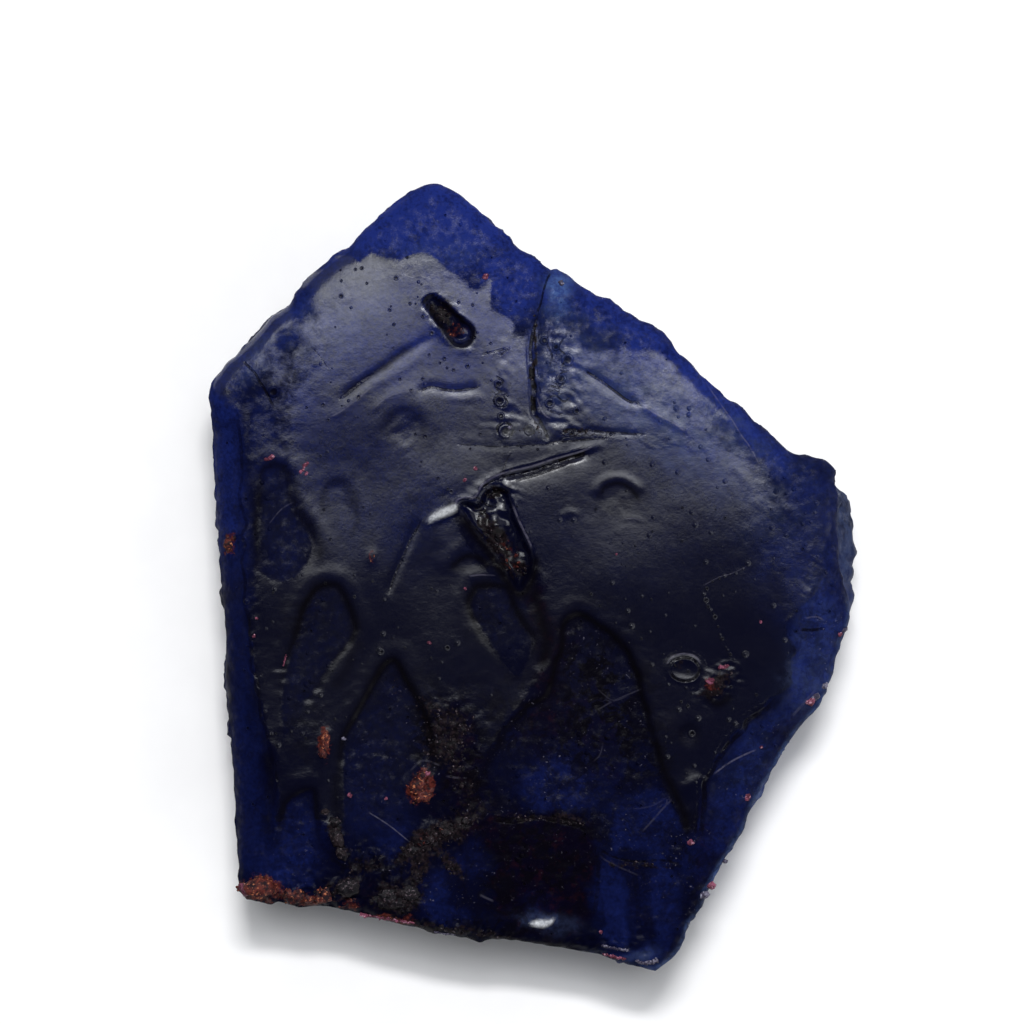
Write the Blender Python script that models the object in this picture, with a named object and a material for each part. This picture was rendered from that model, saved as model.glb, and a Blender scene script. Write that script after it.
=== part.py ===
"""A rough sapphire: a five-sided slab of blue crystal under a melted-looking skin, with broken edges.

Lengths in this file are in millimetres, and metres() turns them into Blender's units. +Y runs along the
stone towards its pointed end and +Z is up. The origin lies under the middle of the stone's box, on the
surface that it rests on. The stone grew as one body, so it is one closed mesh:

- the top is a grid stretched between four stretches of the rim, lifted by top_height(),
- the wall drops from the rim in rows that wander in and out like a fracture,
- the underside is flat, so that the stone rests on all of it.

The mesh is made fine, and one modifier then thins it to the faces that its shape needs.
"""

import bpy
import numpy as np

MM = 0.001

# The slab as a whole.
RIM_THICKNESS = 8.5
DOME_RISE = 0.8
DOME_HALF_WIDTH = 27.0
DOME_HALF_LENGTH = 33.0
TILT_TO_NORTH = 0.012
SWELL_HEIGHT = 0.16
SWELL_LENGTH = 7.0
RIPPLE_HEIGHT = 0.06
RIPPLE_LENGTH = 2.6

# How the top turns down into the wall, and the wall itself.
RIM_ROUNDING = 0.75
RIM_ROUNDING_REACH = 0.55
RIM_SLOPE_DROP = 0.45
RIM_SLOPE_REACH = 3.0
WALL_UNDERCUT = 0.55
WALL_ROUGHNESS = 0.55
WALL_SWELL = 3.4
WALL_LEVELS = (0.93, 0.74, 0.5, 0.27, 0.07)
FOOT_CHAMFER = 0.6

# The chipped facet on the right wall leans outwards below the rim.
CHIP_REACH = 1.7
CHIP_BEYOND_X = 20.0
CHIP_FROM_Y = -2.6
CHIP_TO_Y = 8.4
CHIP_END_LENGTH = 3.5
CHIP_FOOT_LEVEL = 0.45
CHIP_TUCK_LEVELS = (-0.25, 0.35)

# The fine mesh, and the share of its faces that is kept.
CELLS_ACROSS = 150
CELLS_ALONG = 170
THINNING = 0.154
NOISE_TABLE = 64
NOISE_SEED = 11

# The rim, in four stretches that meet at four of its five corners. The fifth, the pointed end, is
# halfway along the upper stretch.
LEFT_RIM = (
    (-23.0, -24.8), (-23.05, -23.2), (-23.35, -20.0), (-23.7, -15.0), (-24.05, -9.0), (-24.3, -3.0),
    (-24.7, 2.5), (-25.05, 8.0), (-25.3, 13.0), (-25.5, 14.0),
)
UPPER_RIM = (
    (-25.5, 14.0), (-25.3, 15.1), (-24.2, 16.7), (-23.2, 17.5), (-22.1, 18.5), (-21.4, 19.3),
    (-20.6, 20.3), (-19.1, 21.35), (-18.8, 22.0), (-17.4, 23.7), (-15.6, 25.15), (-14.6, 25.7),
    (-13.3, 27.1), (-12.1, 28.2), (-10.0, 29.9), (-8.5, 30.8), (-7.9, 30.95), (-6.8, 30.5),
    (-5.85, 29.97), (-4.7, 29.1), (-3.1, 27.6), (-2.4, 27.1), (-2.35, 26.8), (-1.0, 25.65), (0.0, 25.2),
    (0.6, 24.6), (1.5, 23.9), (1.75, 24.1), (2.7, 23.65), (3.9, 22.7), (4.8, 22.05), (6.1, 21.75),
    (7.2, 20.8), (8.3, 20.05), (9.3, 19.75), (10.2, 19.1), (11.45, 17.5), (12.15, 16.95), (13.4, 15.5),
    (15.0, 14.0), (16.4, 13.25), (17.5, 12.0), (18.5, 11.15), (19.5, 10.3), (20.4, 9.65), (21.8, 9.35),
    (22.9, 9.15), (23.8, 8.25),
)
RIGHT_RIM = (
    (9.6, -31.0), (10.9, -30.0), (11.7, -29.0), (12.3, -27.2), (13.2, -26.0), (13.5, -24.7),
    (14.1, -23.9), (15.0, -22.3), (16.4, -20.2), (17.2, -18.2), (18.4, -16.0), (19.6, -14.0),
    (20.6, -12.3), (21.5, -11.3), (22.5, -10.3), (23.1, -9.2), (23.6, -7.6), (23.7, -6.7), (24.2, -5.8),
    (24.2, -5.3), (24.7, -4.4), (25.0, -3.2), (24.8, -2.1), (24.4, -0.6), (24.1, 1.0), (23.8, 3.2),
    (23.85, 4.3), (24.0, 6.3), (23.7, 7.8), (23.8, 8.25),
)
LOWER_RIM = (
    (-23.0, -24.8), (-22.5, -25.45), (-20.5, -25.8), (-20.0, -25.6), (-19.2, -25.85), (-16.0, -25.95),
    (-13.2, -26.4), (-12.2, -26.85), (-10.2, -27.3), (-7.8, -28.0), (-5.2, -28.35), (-4.0, -28.7),
    (-3.3, -28.5), (-1.0, -28.7), (1.0, -29.0), (3.8, -29.35), (5.2, -29.6), (6.7, -30.25),
    (8.1, -30.75), (9.6, -31.0),
)

# Where the skin ends. Beyond these lines the bare crystal slopes away to the rim.
STRIP_EDGE = (
    (-20.0, -22.0), (-20.3, -19.0), (-20.0, -16.0), (-20.7, -13.0), (-21.4, -9.5), (-22.1, -7.2),
    (-22.2, -3.5), (-22.5, -0.5), (-22.5, 2.5), (-22.7, 5.0), (-22.8, 9.0), (-23.1, 12.0), (-23.8, 13.8),
)
STRIP_STEP = 0.35
STRIP_FALL = 0.4
FLANK_EDGE = (
    (23.6, 1.8), (21.6, -1.8), (20.5, -3.0), (20.7, -5.5), (20.1, -7.5), (19.3, -9.3), (16.7, -11.3),
    (15.5, -12.8), (14.5, -14.3), (13.6, -16.0), (13.4, -18.0), (12.9, -21.0),
)
FLANK_STEP = 0.3
FLANK_FALL = 0.17
SKIN_EDGE_WIDTH = 0.45

# Windows in the skin. Each line runs around the head of one with the low side on its right:
# (points, depth, height of the lip, reach of the hollow).
WINDOWS = (
    (((-21.4, 8.4), (-20.6, 8.9), (-19.2, 8.7), (-18.7, 7.0), (-18.2, 5.0), (-17.1, 3.5), (-16.8, 1.4)),
     0.40, 0.12, 2.6),
    (((-18.6, -4.0), (-18.0, -1.9), (-16.8, -0.6), (-15.2, -0.6), (-14.3, -2.0), (-13.6, -3.8),
      (-14.2, -5.6), (-15.4, -7.2)), 0.75, 0.22, 2.6),
    (((-15.2, -18.5), (-15.3, -15.5), (-15.0, -12.4), (-13.6, -10.0), (-12.4, -7.6), (-11.0, -6.3),
      (-10.1, -7.2), (-8.7, -9.8), (-8.2, -11.4)), 0.80, 0.24, 3.4),
    (((-20.1, -20.5), (-19.8, -18.2), (-18.5, -16.7), (-17.2, -16.5), (-16.4, -17.8)), 0.45, 0.12, 2.4),
    (((-5.4, -2.4), (-4.8, -1.0), (-3.5, -0.5), (-1.8, -0.9), (-1.0, -2.8), (0.6, -5.2)), 0.45, 0.14, 1.8),
    (((4.9, 5.4), (5.5, 6.9), (6.9, 7.3), (8.1, 6.3), (8.6, 5.0)), 0.35, 0.16, 1.3),
    (((0.8, -9.6), (1.4, -7.0), (2.0, -4.8), (2.6, -3.0), (4.3, -3.0), (6.2, -4.2), (7.6, -5.8),
      (8.4, -7.8), (8.9, -9.8), (9.9, -13.5), (11.0, -16.8), (11.9, -20.5)), 0.70, 0.20, 4.4),
    (((-8.0, 4.8), (-6.0, 5.8), (-4.4, 6.3), (-3.4, 7.5), (-1.5, 8.15), (1.5, 9.0), (5.0, 10.2)),
     0.42, 0.26, 1.4),
)
LIP_WIDTH = 0.5
STEP_WIDTH = 0.4

# Long grooves and ridges: (points, height with a minus for a groove, half width).
CREASES = (
    (((1.5, 23.9), (0.8, 22.2), (0.1, 19.5), (-0.1, 16.5), (0.0, 13.5), (1.2, 10.4)), -0.45, 0.38),
    (((-15.2, 13.8), (-12.5, 15.8), (-10.5, 17.2), (-7.5, 18.9)), -0.28, 0.65),
    (((-16.2, 12.2), (-13.5, 14.0), (-11.0, 15.6), (-8.5, 17.4)), 0.22, 0.60),
    (((-9.0, 14.4), (-6.5, 14.5), (-4.0, 14.9)), -0.22, 0.40),
    (((3.9, 16.2), (6.2, 14.6), (8.4, 13.2)), -0.26, 0.45),
    (((8.6, 13.3), (10.2, 12.3), (11.9, 11.2)), 0.16, 0.45),
    (((13.7, 14.9), (15.7, 12.0), (17.8, 8.4)), 0.16, 0.50),
    (((0.0, -1.0), (0.5, -3.0), (1.0, -5.0), (0.2, -7.4)), -0.60, 0.55),
    (((-9.0, 4.5), (-10.1, 1.6), (-11.3, -1.5)), -0.16, 0.40),
    (((-22.9, 17.0), (-21.4, 15.2), (-20.3, 13.2)), -0.20, 0.35),
    (((11.0, -17.4), (9.4, -19.0), (8.5, -20.0)), 0.16, 0.40),
)

# The hollow left where a grain of matrix broke out, and the pit shaped like a raisin.
SOCKET = (
    (-5.9, 5.7), (-4.2, 5.9), (-2.8, 6.6), (-1.7, 6.0), (-1.2, 4.4), (-0.4, 2.6), (0.0, 1.0),
    (-0.3, 0.0), (-1.5, -0.8), (-2.6, 1.2), (-4.0, 3.2), (-5.3, 4.8),
)
SOCKET_DEPTH = 1.0
SOCKET_EDGE = 0.6
SOCKET_ROUGHNESS = 0.25
SOCKET_GRAIN = 0.9
RAISIN_FROM = (-7.9, 21.5)
RAISIN_TO = (-5.6, 18.9)
RAISIN_RADII = (0.65, 1.15)
RAISIN_DEPTH = 0.8
RAISIN_RIM = 0.12
RAISIN_RIM_AT = 1.15
RAISIN_RIM_WIDTH = 0.25
RAISIN_FLOOR_AT = 0.45

# Lumps of crust and small pits: (x, y, half length, half width, turn in degrees, height).
LUMPS = (
    (-21.2, -24.3, 1.5, 1.1, 0, 0.80), (-18.6, -24.9, 1.0, 0.8, 0, 0.55),
    (-16.5, -24.8, 1.3, 1.0, 10, 0.65), (-14.4, -24.3, 1.0, 0.8, 0, 0.45),
    (-10.8, -25.2, 1.9, 1.3, -10, 0.45), (-8.8, -16.6, 1.7, 1.1, 75, 0.45),
    (-16.3, -13.2, 2.6, 0.9, 80, 0.55), (-15.5, -20.4, 2.2, 0.7, -60, 0.35),
    (-13.0, -22.8, 1.5, 1.2, 0, 0.30), (11.7, -7.2, 1.5, 1.1, 0, 0.40),
    (14.8, -9.2, 1.3, 0.9, 20, 0.25), (-23.6, 2.3, 1.4, 1.0, 70, 0.25),
    (0.7, -27.2, 1.6, 0.8, 0, 0.25), (3.3, -4.6, 0.8, 0.6, 0, 0.22),
    (-6.4, -20.0, 2.4, 1.3, 20, 0.25), (2.2, 15.2, 1.0, 3.0, 0, 0.16),
    (-2.5, 14.0, 0.7, 3.0, 0, 0.16), (1.4, 11.8, 1.6, 0.8, 0, 0.20),
    (-10.0, 11.2, 1.5, 1.2, 30, -0.22), (-19.3, 18.3, 1.3, 1.0, 0, -0.18),
    (-12.6, 1.5, 0.7, 0.9, 0, 0.18), (11.7, -7.3, 0.7, 0.5, 0, -0.45),
    (-3.0, 11.0, 0.9, 0.7, 0, 0.14),
)


def metres(points):
    """Millimetres to Blender's units."""
    return np.asarray(points, float) * MM


def noise(x, y, length, seed):
    """Smooth noise from -1 to 1: random values on a square lattice this long, blended between its corners."""
    table = np.random.default_rng(seed).random((NOISE_TABLE, NOISE_TABLE)) * 2 - 1
    column, row = np.floor(x / length).astype(int), np.floor(y / length).astype(int)
    across, along = x / length - column, y / length - row
    across, along = across * across * (3 - 2 * across), along * along * (3 - 2 * along)
    here, there = column % NOISE_TABLE, (column + 1) % NOISE_TABLE
    low, high = row % NOISE_TABLE, (row + 1) % NOISE_TABLE
    near = table[here, low] * (1 - across) + table[there, low] * across
    far = table[here, high] * (1 - across) + table[there, high] * across
    return near * (1 - along) + far * along


def curve_through(points, pieces=4):
    """A smooth line through the points, each stretch a Catmull-Rom cubic cut into this many pieces."""
    points = np.asarray(points, float)
    ends = np.vstack([2 * points[0] - points[1], points, 2 * points[-1] - points[-2]])
    before, start, end, after = ends[:-3, None], ends[1:-2, None], ends[2:-1, None], ends[3:, None]
    t = np.linspace(0, 1, pieces, endpoint=False)[None, :, None]
    line = 0.5 * (
        2 * start + (end - before) * t + (2 * before - 5 * start + 4 * end - after) * t**2
        + (3 * start - before - 3 * end + after) * t**3
    )
    return np.vstack([line.reshape(-1, 2), points[-1:]])


def along_line(x, y, line):
    """Each point's distance to the line, positive on its right, and the share of the line passed there."""
    line = np.asarray(line, float)
    lengths = np.hypot(*np.diff(line, axis=0).T)
    passed = np.concatenate([[0], np.cumsum(lengths)])
    nearest = np.full(np.shape(x), np.inf)
    side = np.ones(np.shape(x))
    share = np.zeros(np.shape(x))
    for start, end, length, before in zip(line[:-1], line[1:], lengths, passed):
        way = (end - start) / length
        reached = np.clip((x - start[0]) * way[0] + (y - start[1]) * way[1], 0, length)
        off_x = x - start[0] - reached * way[0]
        off_y = y - start[1] - reached * way[1]
        distance = np.hypot(off_x, off_y)
        closer = distance < nearest
        nearest = np.where(closer, distance, nearest)
        side = np.where(closer, np.sign(off_x * way[1] - off_y * way[0]), side)
        share = np.where(closer, (before + reached) / passed[-1], share)
    return nearest * side, share


def inside_distance(x, y, outline):
    """Each point's distance to a closed outline, positive inside it."""
    outline = np.asarray(outline, float)
    loop = np.vstack([outline, outline[:1]])
    distance = np.abs(along_line(x, y, loop)[0])
    inside = np.zeros(np.shape(x), bool)
    for (x0, y0), (x1, y1) in zip(loop[:-1], loop[1:]):
        spans = (y0 > y) != (y1 > y)
        rise = y1 - y0 if y1 != y0 else 1.0
        inside ^= spans & (x < (x1 - x0) * (y - y0) / rise + x0)
    return np.where(inside, distance, -distance)


def step(low, high, value):
    """0 below low, 1 above high, and a smooth S between them."""
    t = np.clip((value - low) / (high - low), 0, 1)
    return t * t * (3 - 2 * t)


def fading_ends(share, part=0.16):
    """1 along a line, falling to 0 over this part of it at each end."""
    return step(0, part, share) * step(0, part, 1 - share)


def rim_outline():
    """The whole rim as one closed outline, counterclockwise from the lower left corner."""
    return LOWER_RIM[:-1] + RIGHT_RIM[:-1] + UPPER_RIM[::-1][:-1] + LEFT_RIM[::-1][:-1]


def slab(x, y):
    """The slab's broad shape: a low dome, leaning a little, with slow swells."""
    rise = DOME_RISE * (1 - (x / DOME_HALF_WIDTH) ** 2 - (y / DOME_HALF_LENGTH) ** 2)
    swells = SWELL_HEIGHT * noise(x, y, SWELL_LENGTH, NOISE_SEED)
    ripples = RIPPLE_HEIGHT * noise(x, y, RIPPLE_LENGTH, NOISE_SEED + 1)
    return RIM_THICKNESS + rise - TILT_TO_NORTH * y + swells + ripples


def rim_fall(x, y):
    """The rounded rim, and the slower slope inside it."""
    depth = np.clip(inside_distance(x, y, rim_outline()), 0, None)
    rounding = RIM_ROUNDING * np.exp(-depth / RIM_ROUNDING_REACH)
    return rounding + RIM_SLOPE_DROP * np.exp(-depth / RIM_SLOPE_REACH)


def bare_fall(x, y, edge, drop, fall):
    """A step down off the skin at an edge, then a steady slope away to the left of it."""
    off, share = along_line(x, y, curve_through(edge))
    out = np.clip(-off, 0, None)
    return (drop * step(0, SKIN_EDGE_WIDTH, out) + fall * out) * fading_ends(share, 0.08)


def window(x, y, points, depth, lip, reach):
    """A raised lip along the line and a hollow on its right that fills up again with distance."""
    off, share = along_line(x, y, curve_through(points))
    crest = lip * np.exp(-((off / LIP_WIDTH) ** 2))
    hollow = depth * (1 - np.exp(-((off / STEP_WIDTH) ** 2))) * np.exp(-np.abs(off) / reach)
    return (crest - np.where(off > 0, hollow, 0)) * fading_ends(share)


def crease(x, y, points, height, half_width):
    """A rounded ridge, or a groove where the height is negative."""
    off, share = along_line(x, y, curve_through(points))
    return height * np.exp(-((off / half_width) ** 2)) * fading_ends(share)


def lump(x, y, centre_x, centre_y, half_length, half_width, turn, height):
    """A smooth oval lump, or a pit where the height is negative."""
    angle = np.radians(turn)
    along = (x - centre_x) * np.cos(angle) + (y - centre_y) * np.sin(angle)
    across = (y - centre_y) * np.cos(angle) - (x - centre_x) * np.sin(angle)
    return height * np.exp(-((along / half_length) ** 2) - (across / half_width) ** 2)


def socket(x, y):
    """The steep-sided hollow near the middle, with an uneven floor."""
    depth = step(0, SOCKET_EDGE, inside_distance(x, y, SOCKET))
    return -SOCKET_DEPTH * depth * (1 + SOCKET_ROUGHNESS * noise(x, y, SOCKET_GRAIN, NOISE_SEED + 2))


def raisin(x, y):
    """A pit with round ends, narrow above and wide below, inside a low rim."""
    off, share = along_line(x, y, np.array([RAISIN_FROM, RAISIN_TO]))
    radius = RAISIN_RADII[0] + (RAISIN_RADII[1] - RAISIN_RADII[0]) * share
    reach = np.abs(off) / radius
    low_rim = RAISIN_RIM * np.exp(-(((reach - RAISIN_RIM_AT) / RAISIN_RIM_WIDTH) ** 2))
    return low_rim - RAISIN_DEPTH * step(1.0, RAISIN_FLOOR_AT, reach)


def top_height(x, y):
    """The top's height over the underside at each place."""
    height = slab(x, y) - rim_fall(x, y)
    height = height - bare_fall(x, y, STRIP_EDGE, STRIP_STEP, STRIP_FALL)
    height = height - bare_fall(x, y, FLANK_EDGE, FLANK_STEP, FLANK_FALL)
    for points, depth, lip, reach in WINDOWS:
        height = height + window(x, y, points, depth, lip, reach)
    for points, rise, half_width in CREASES:
        height = height + crease(x, y, points, rise, half_width)
    for oval in LUMPS:
        height = height + lump(x, y, *oval)
    return height + socket(x, y) + raisin(x, y)


def evenly_along(points, count):
    """This many places, ends included, spread evenly along a broken line."""
    points = np.asarray(points, float)
    passed = np.concatenate([[0], np.cumsum(np.hypot(*np.diff(points, axis=0).T))])
    places = np.linspace(0, passed[-1], count)
    return np.stack([np.interp(places, passed, points[:, 0]), np.interp(places, passed, points[:, 1])], 1)


def stretched_grid(across, along):
    """A grid over the rim's outline: each row blends the left and right rims and each column the lower and
    upper ones, less the blend of the four corners that both have counted."""
    lower, upper = evenly_along(LOWER_RIM, across + 1)[:, None], evenly_along(UPPER_RIM, across + 1)[:, None]
    left, right = evenly_along(LEFT_RIM, along + 1)[None], evenly_along(RIGHT_RIM, along + 1)[None]
    u = np.linspace(0, 1, across + 1)[:, None, None]
    v = np.linspace(0, 1, along + 1)[None, :, None]
    corners = (1 - u) * ((1 - v) * lower[0] + v * upper[0]) + u * ((1 - v) * lower[-1] + v * upper[-1])
    return (1 - v) * lower + v * upper + (1 - u) * left + u * right - corners


def rim_numbers(across, along):
    """The grid's border vertices by number, counterclockwise."""
    number = np.arange((across + 1) * (along + 1)).reshape(across + 1, along + 1)
    return np.concatenate([number[:-1, 0], number[-1, :-1], number[:0:-1, -1], number[0, :0:-1]])


def outward(loop):
    """The direction out of a counterclockwise loop at each of its points, evened out over its neighbours."""
    along = sum(np.roll(loop, -k, 0) - np.roll(loop, k, 0) for k in range(1, 5))
    normal = np.stack([along[:, 1], -along[:, 0]], 1)
    return normal / np.linalg.norm(normal, axis=1, keepdims=True)


def chip_lean(y):
    """How far the chipped facet leans out at each y: all of CHIP_REACH mid-facet, none at its ends."""
    lower_end = step(CHIP_FROM_Y, CHIP_FROM_Y + CHIP_END_LENGTH, y)
    return CHIP_REACH * lower_end * step(CHIP_TO_Y, CHIP_TO_Y - CHIP_END_LENGTH, y)


def wall_rows(rim, heights):
    """The rings of points down the wall, from under the rim to the foot."""
    normal = outward(rim)
    passed = np.cumsum(np.hypot(*(rim - np.roll(rim, 1, 0)).T))
    lean = np.where(rim[:, 0] > CHIP_BEYOND_X, chip_lean(rim[:, 1]), 0.0)
    rows = []
    for level in WALL_LEVELS:
        depth = np.full(len(rim), level * RIM_THICKNESS)
        wander = WALL_ROUGHNESS * noise(passed, depth, WALL_SWELL, NOISE_SEED + 3)
        out = wander * 4 * (1 - level) * level - WALL_UNDERCUT * (1 - level)
        out = out + lean * step(1.0, CHIP_FOOT_LEVEL, level) * step(*CHIP_TUCK_LEVELS, level)
        rows.append(np.column_stack([rim + normal * out[:, None], heights * level]))
    foot = rows[-1][:, :2] - normal * FOOT_CHAMFER
    rows.append(np.column_stack([foot, np.zeros(len(rim))]))
    return rows


def quads_between(upper, lower):
    """Faces that join one ring of vertex numbers to the ring below it, looking outwards."""
    return np.stack([upper, lower, np.roll(lower, -1), np.roll(upper, -1)], 1)


def stone_mesh():
    """The vertices and faces of the closed stone, in millimetres."""
    grid = stretched_grid(CELLS_ACROSS, CELLS_ALONG)
    x, y = grid[..., 0], grid[..., 1]
    top = np.dstack([x, y, top_height(x, y)]).reshape(-1, 3)
    number = np.arange(len(top)).reshape(x.shape)
    corners = (number[:-1, :-1], number[1:, :-1], number[1:, 1:], number[:-1, 1:])
    faces = np.stack(corners, 2).reshape(-1, 4).tolist()
    ring = rim_numbers(CELLS_ACROSS, CELLS_ALONG)
    rows = wall_rows(top[ring, :2], top[ring, 2])
    points = [top]
    count = len(top)
    for row in rows:
        below = count + np.arange(len(row))
        faces.extend(quads_between(ring, below).tolist())
        points.append(row)
        ring = below
        count += len(row)
    faces.append(ring[::-1].tolist())
    return np.vstack(points), faces


def sapphire_material():
    """Dark blue crystal under a glossy skin."""
    material = bpy.data.materials.new("sapphire_blue")
    material.use_nodes = True
    shader = material.node_tree.nodes["Principled BSDF"]
    shader.inputs["Base Color"].default_value = (0.006, 0.009, 0.045, 1.0)
    shader.inputs["Roughness"].default_value = 0.25
    shader.inputs["Metallic"].default_value = 0.0
    return material


def make_sapphire():
    """The stone as one object, thinned to the faces that its shape needs."""
    points, faces = stone_mesh()
    mesh = bpy.data.meshes.new("sapphire")
    mesh.from_pydata(metres(points).tolist(), [], faces)
    mesh.materials.append(sapphire_material())
    mesh.shade_smooth()
    stone = bpy.data.objects.new("sapphire", mesh)
    bpy.context.scene.collection.objects.link(stone)
    thin = stone.modifiers.new("thin_plain_areas", "DECIMATE")
    thin.ratio = THINNING
    return stone


def main():
    for thing in list(bpy.data.objects):
        bpy.data.objects.remove(thing)
    make_sapphire()


main()
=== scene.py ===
"""The looks of a rough sapphire: a dark blue slab of crystal under a melted-looking glossy skin.

Shapes are worked out in millimetres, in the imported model's own frame, and new_piece() turns them into
Blender's units. The stone is one closed surface: a grid over the rim's outline for the top, rows of points
down the wall, and a coarser grid for the underside. The skin's windows, ledge, cracks and lumps are all
heights on that grid, and the same outlines give the colour masks, so colour and relief stay together.
"""

import math

import bpy
import numpy as np
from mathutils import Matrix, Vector


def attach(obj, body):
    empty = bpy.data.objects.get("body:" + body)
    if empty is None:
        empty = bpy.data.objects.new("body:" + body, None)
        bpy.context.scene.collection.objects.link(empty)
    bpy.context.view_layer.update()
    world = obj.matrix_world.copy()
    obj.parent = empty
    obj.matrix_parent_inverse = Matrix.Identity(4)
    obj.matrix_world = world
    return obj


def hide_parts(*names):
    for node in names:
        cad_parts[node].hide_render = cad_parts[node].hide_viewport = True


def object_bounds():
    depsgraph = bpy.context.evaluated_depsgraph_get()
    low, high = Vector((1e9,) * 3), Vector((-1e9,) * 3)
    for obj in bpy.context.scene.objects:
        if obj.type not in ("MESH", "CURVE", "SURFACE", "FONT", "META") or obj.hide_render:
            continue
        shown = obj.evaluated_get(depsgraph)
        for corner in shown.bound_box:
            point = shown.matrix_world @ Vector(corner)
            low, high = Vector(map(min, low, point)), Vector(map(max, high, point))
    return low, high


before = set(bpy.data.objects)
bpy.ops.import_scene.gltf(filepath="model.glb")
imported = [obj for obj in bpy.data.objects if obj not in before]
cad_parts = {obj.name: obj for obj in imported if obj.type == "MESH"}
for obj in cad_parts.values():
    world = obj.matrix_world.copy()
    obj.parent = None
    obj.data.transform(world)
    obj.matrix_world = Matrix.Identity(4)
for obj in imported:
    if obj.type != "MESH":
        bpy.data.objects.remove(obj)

bl_info = {
    "name": "Rough sapphire",
    "version": (1, 0, 0),
    "blender": (4, 5, 0),
    "location": "View3D > Sidebar > Sapphire",
    "description": "Builds a rough sapphire slab with a melted-looking skin, its crust and a small studio",
    "category": "Object",
}

MM = 0.001
CAD_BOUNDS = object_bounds()
STONE_NODE = "sapphire"
SEED = 11


def pairs(*numbers):
    """Points from the x and the y of each in turn."""
    return tuple(zip(numbers[::2], numbers[1::2]))


def point_rows(own, *rows):
    """Each row as its points and then its own numbers. It is written the other way round: first this many
    numbers of its own, then the x and the y of each point in turn."""
    return tuple((pairs(*row[own:]), *row[:own]) for row in rows)


# ----------------------------------------
# The rim, in four stretches between four corners. The pointed end is halfway along the upper one.

LEFT_RIM = pairs(
    -23, -24.8, -23.05, -23.2, -23.35, -20, -23.7, -15, -24.05, -9, -24.3, -3, -24.7, 2.5, -25.05, 8, -25.3,
    13, -25.5, 14
)
UPPER_RIM = pairs(
    -25.5, 14, -25.3, 15.1, -24.2, 16.7, -23.2, 17.5, -22.1, 18.5, -21.4, 19.3, -20.6, 20.3, -19.1, 21.35,
    -18.8, 22, -17.4, 23.7, -15.6, 25.15, -14.6, 25.7, -13.3, 27.1, -12.1, 28.2, -10, 29.9, -8.5, 30.8,
    -7.9, 30.95, -6.8, 30.5, -5.85, 29.97, -4.7, 29.1, -3.1, 27.6, -2.4, 27.1, -2.35, 26.8, -1, 25.65, 0,
    25.2, 0.6, 24.6, 1.5, 23.9, 1.75, 24.1, 2.7, 23.65, 3.9, 22.7, 4.8, 22.05, 6.1, 21.75, 7.2, 20.8, 8.3,
    20.05, 9.3, 19.75, 10.2, 19.1, 11.45, 17.5, 12.15, 16.95, 13.4, 15.5, 15, 14, 16.4, 13.25, 17.5, 12,
    18.5, 11.15, 19.5, 10.3, 20.4, 9.65, 21.8, 9.35, 22.9, 9.15, 23.8, 8.25
)
RIGHT_RIM = pairs(
    9.6, -31, 10.9, -30, 11.7, -29, 12.3, -27.2, 13.2, -26, 13.5, -24.7, 14.1, -23.9, 15, -22.3, 16.4,
    -20.2, 17.2, -18.2, 18.4, -16, 19.6, -14, 20.6, -12.3, 21.5, -11.3, 22.5, -10.3, 23.1, -9.2, 23.6, -7.6,
    23.7, -6.7, 24.2, -5.8, 24.2, -5.3, 24.7, -4.4, 25, -3.2, 24.8, -2.1, 24.4, -0.6, 24.1, 1, 23.8, 3.2,
    23.85, 4.3, 24, 6.3, 23.7, 7.8, 23.8, 8.25
)
LOWER_RIM = pairs(
    -23, -24.8, -22.5, -25.45, -20.5, -25.8, -20, -25.6, -19.2, -25.85, -16, -25.95, -13.2, -26.4, -12.2,
    -26.85, -10.2, -27.3, -7.8, -28, -5.2, -28.35, -4, -28.7, -3.3, -28.5, -1, -28.7, 1, -29, 3.8, -29.35,
    5.2, -29.6, 6.7, -30.25, 8.1, -30.75, 9.6, -31
)

# ----------------------------------------
# The skin: its own outline, and the windows in it where bare crystal shows.

SKIN_OUTLINE = pairs(
    -24.9, 14.2, -24.9, 15.4, -23.6, 17.5, -21.9, 19.1, -20.8, 20.7, -19.2, 21.8, -18, 22.9, -17, 24.2,
    -15.4, 25.4, -13.9, 25.3, -13.2, 24.6, -12.4, 25.3, -10.8, 24.6, -9.2, 24.9, -7.2, 24.9, -5.5, 23.4,
    -4.4, 22.8, -3.1, 23.4, -3.1, 21.3, -2.1, 20.4, -1.6, 19.1, -0.5, 19.4, 0.2, 20.4, 0.3, 18.2, 0.2, 14.5,
    0.6, 12, 2.5, 11, 6.5, 11.1, 8.6, 10.8, 10.2, 10.2, 14.7, 10, 17.5, 8.8, 19.5, 8.5, 22.3, 8.2, 23.3,
    7.2, 23.2, 3, 23, 0.6, 21.9, -1.6, 20.5, -3, 20.7, -5.5, 20.1, -6.6, 20.2, -8.5, 19.3, -9.3, 17.3,
    -10.8, 16.6, -11.5, 15.5, -12.8, 14.5, -14.3, 13.6, -16, 13.4, -18, 13.2, -20, 12.8, -21.6, 12.2, -20.4,
    8, -20.2, 2, -20, -4, -19.4, -10, -19.6, -16, -19.4, -20.2, -19.2, -20.3, -17.5, -20, -16, -20.7, -13,
    -21.4, -9.5, -22.1, -7.2, -22.2, -3.5, -22.6, -2.2, -22.4, 1.2, -22.8, 3.2, -22.4, 4, -23, 6.2, -22.8,
    9, -23.1, 12
)

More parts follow.
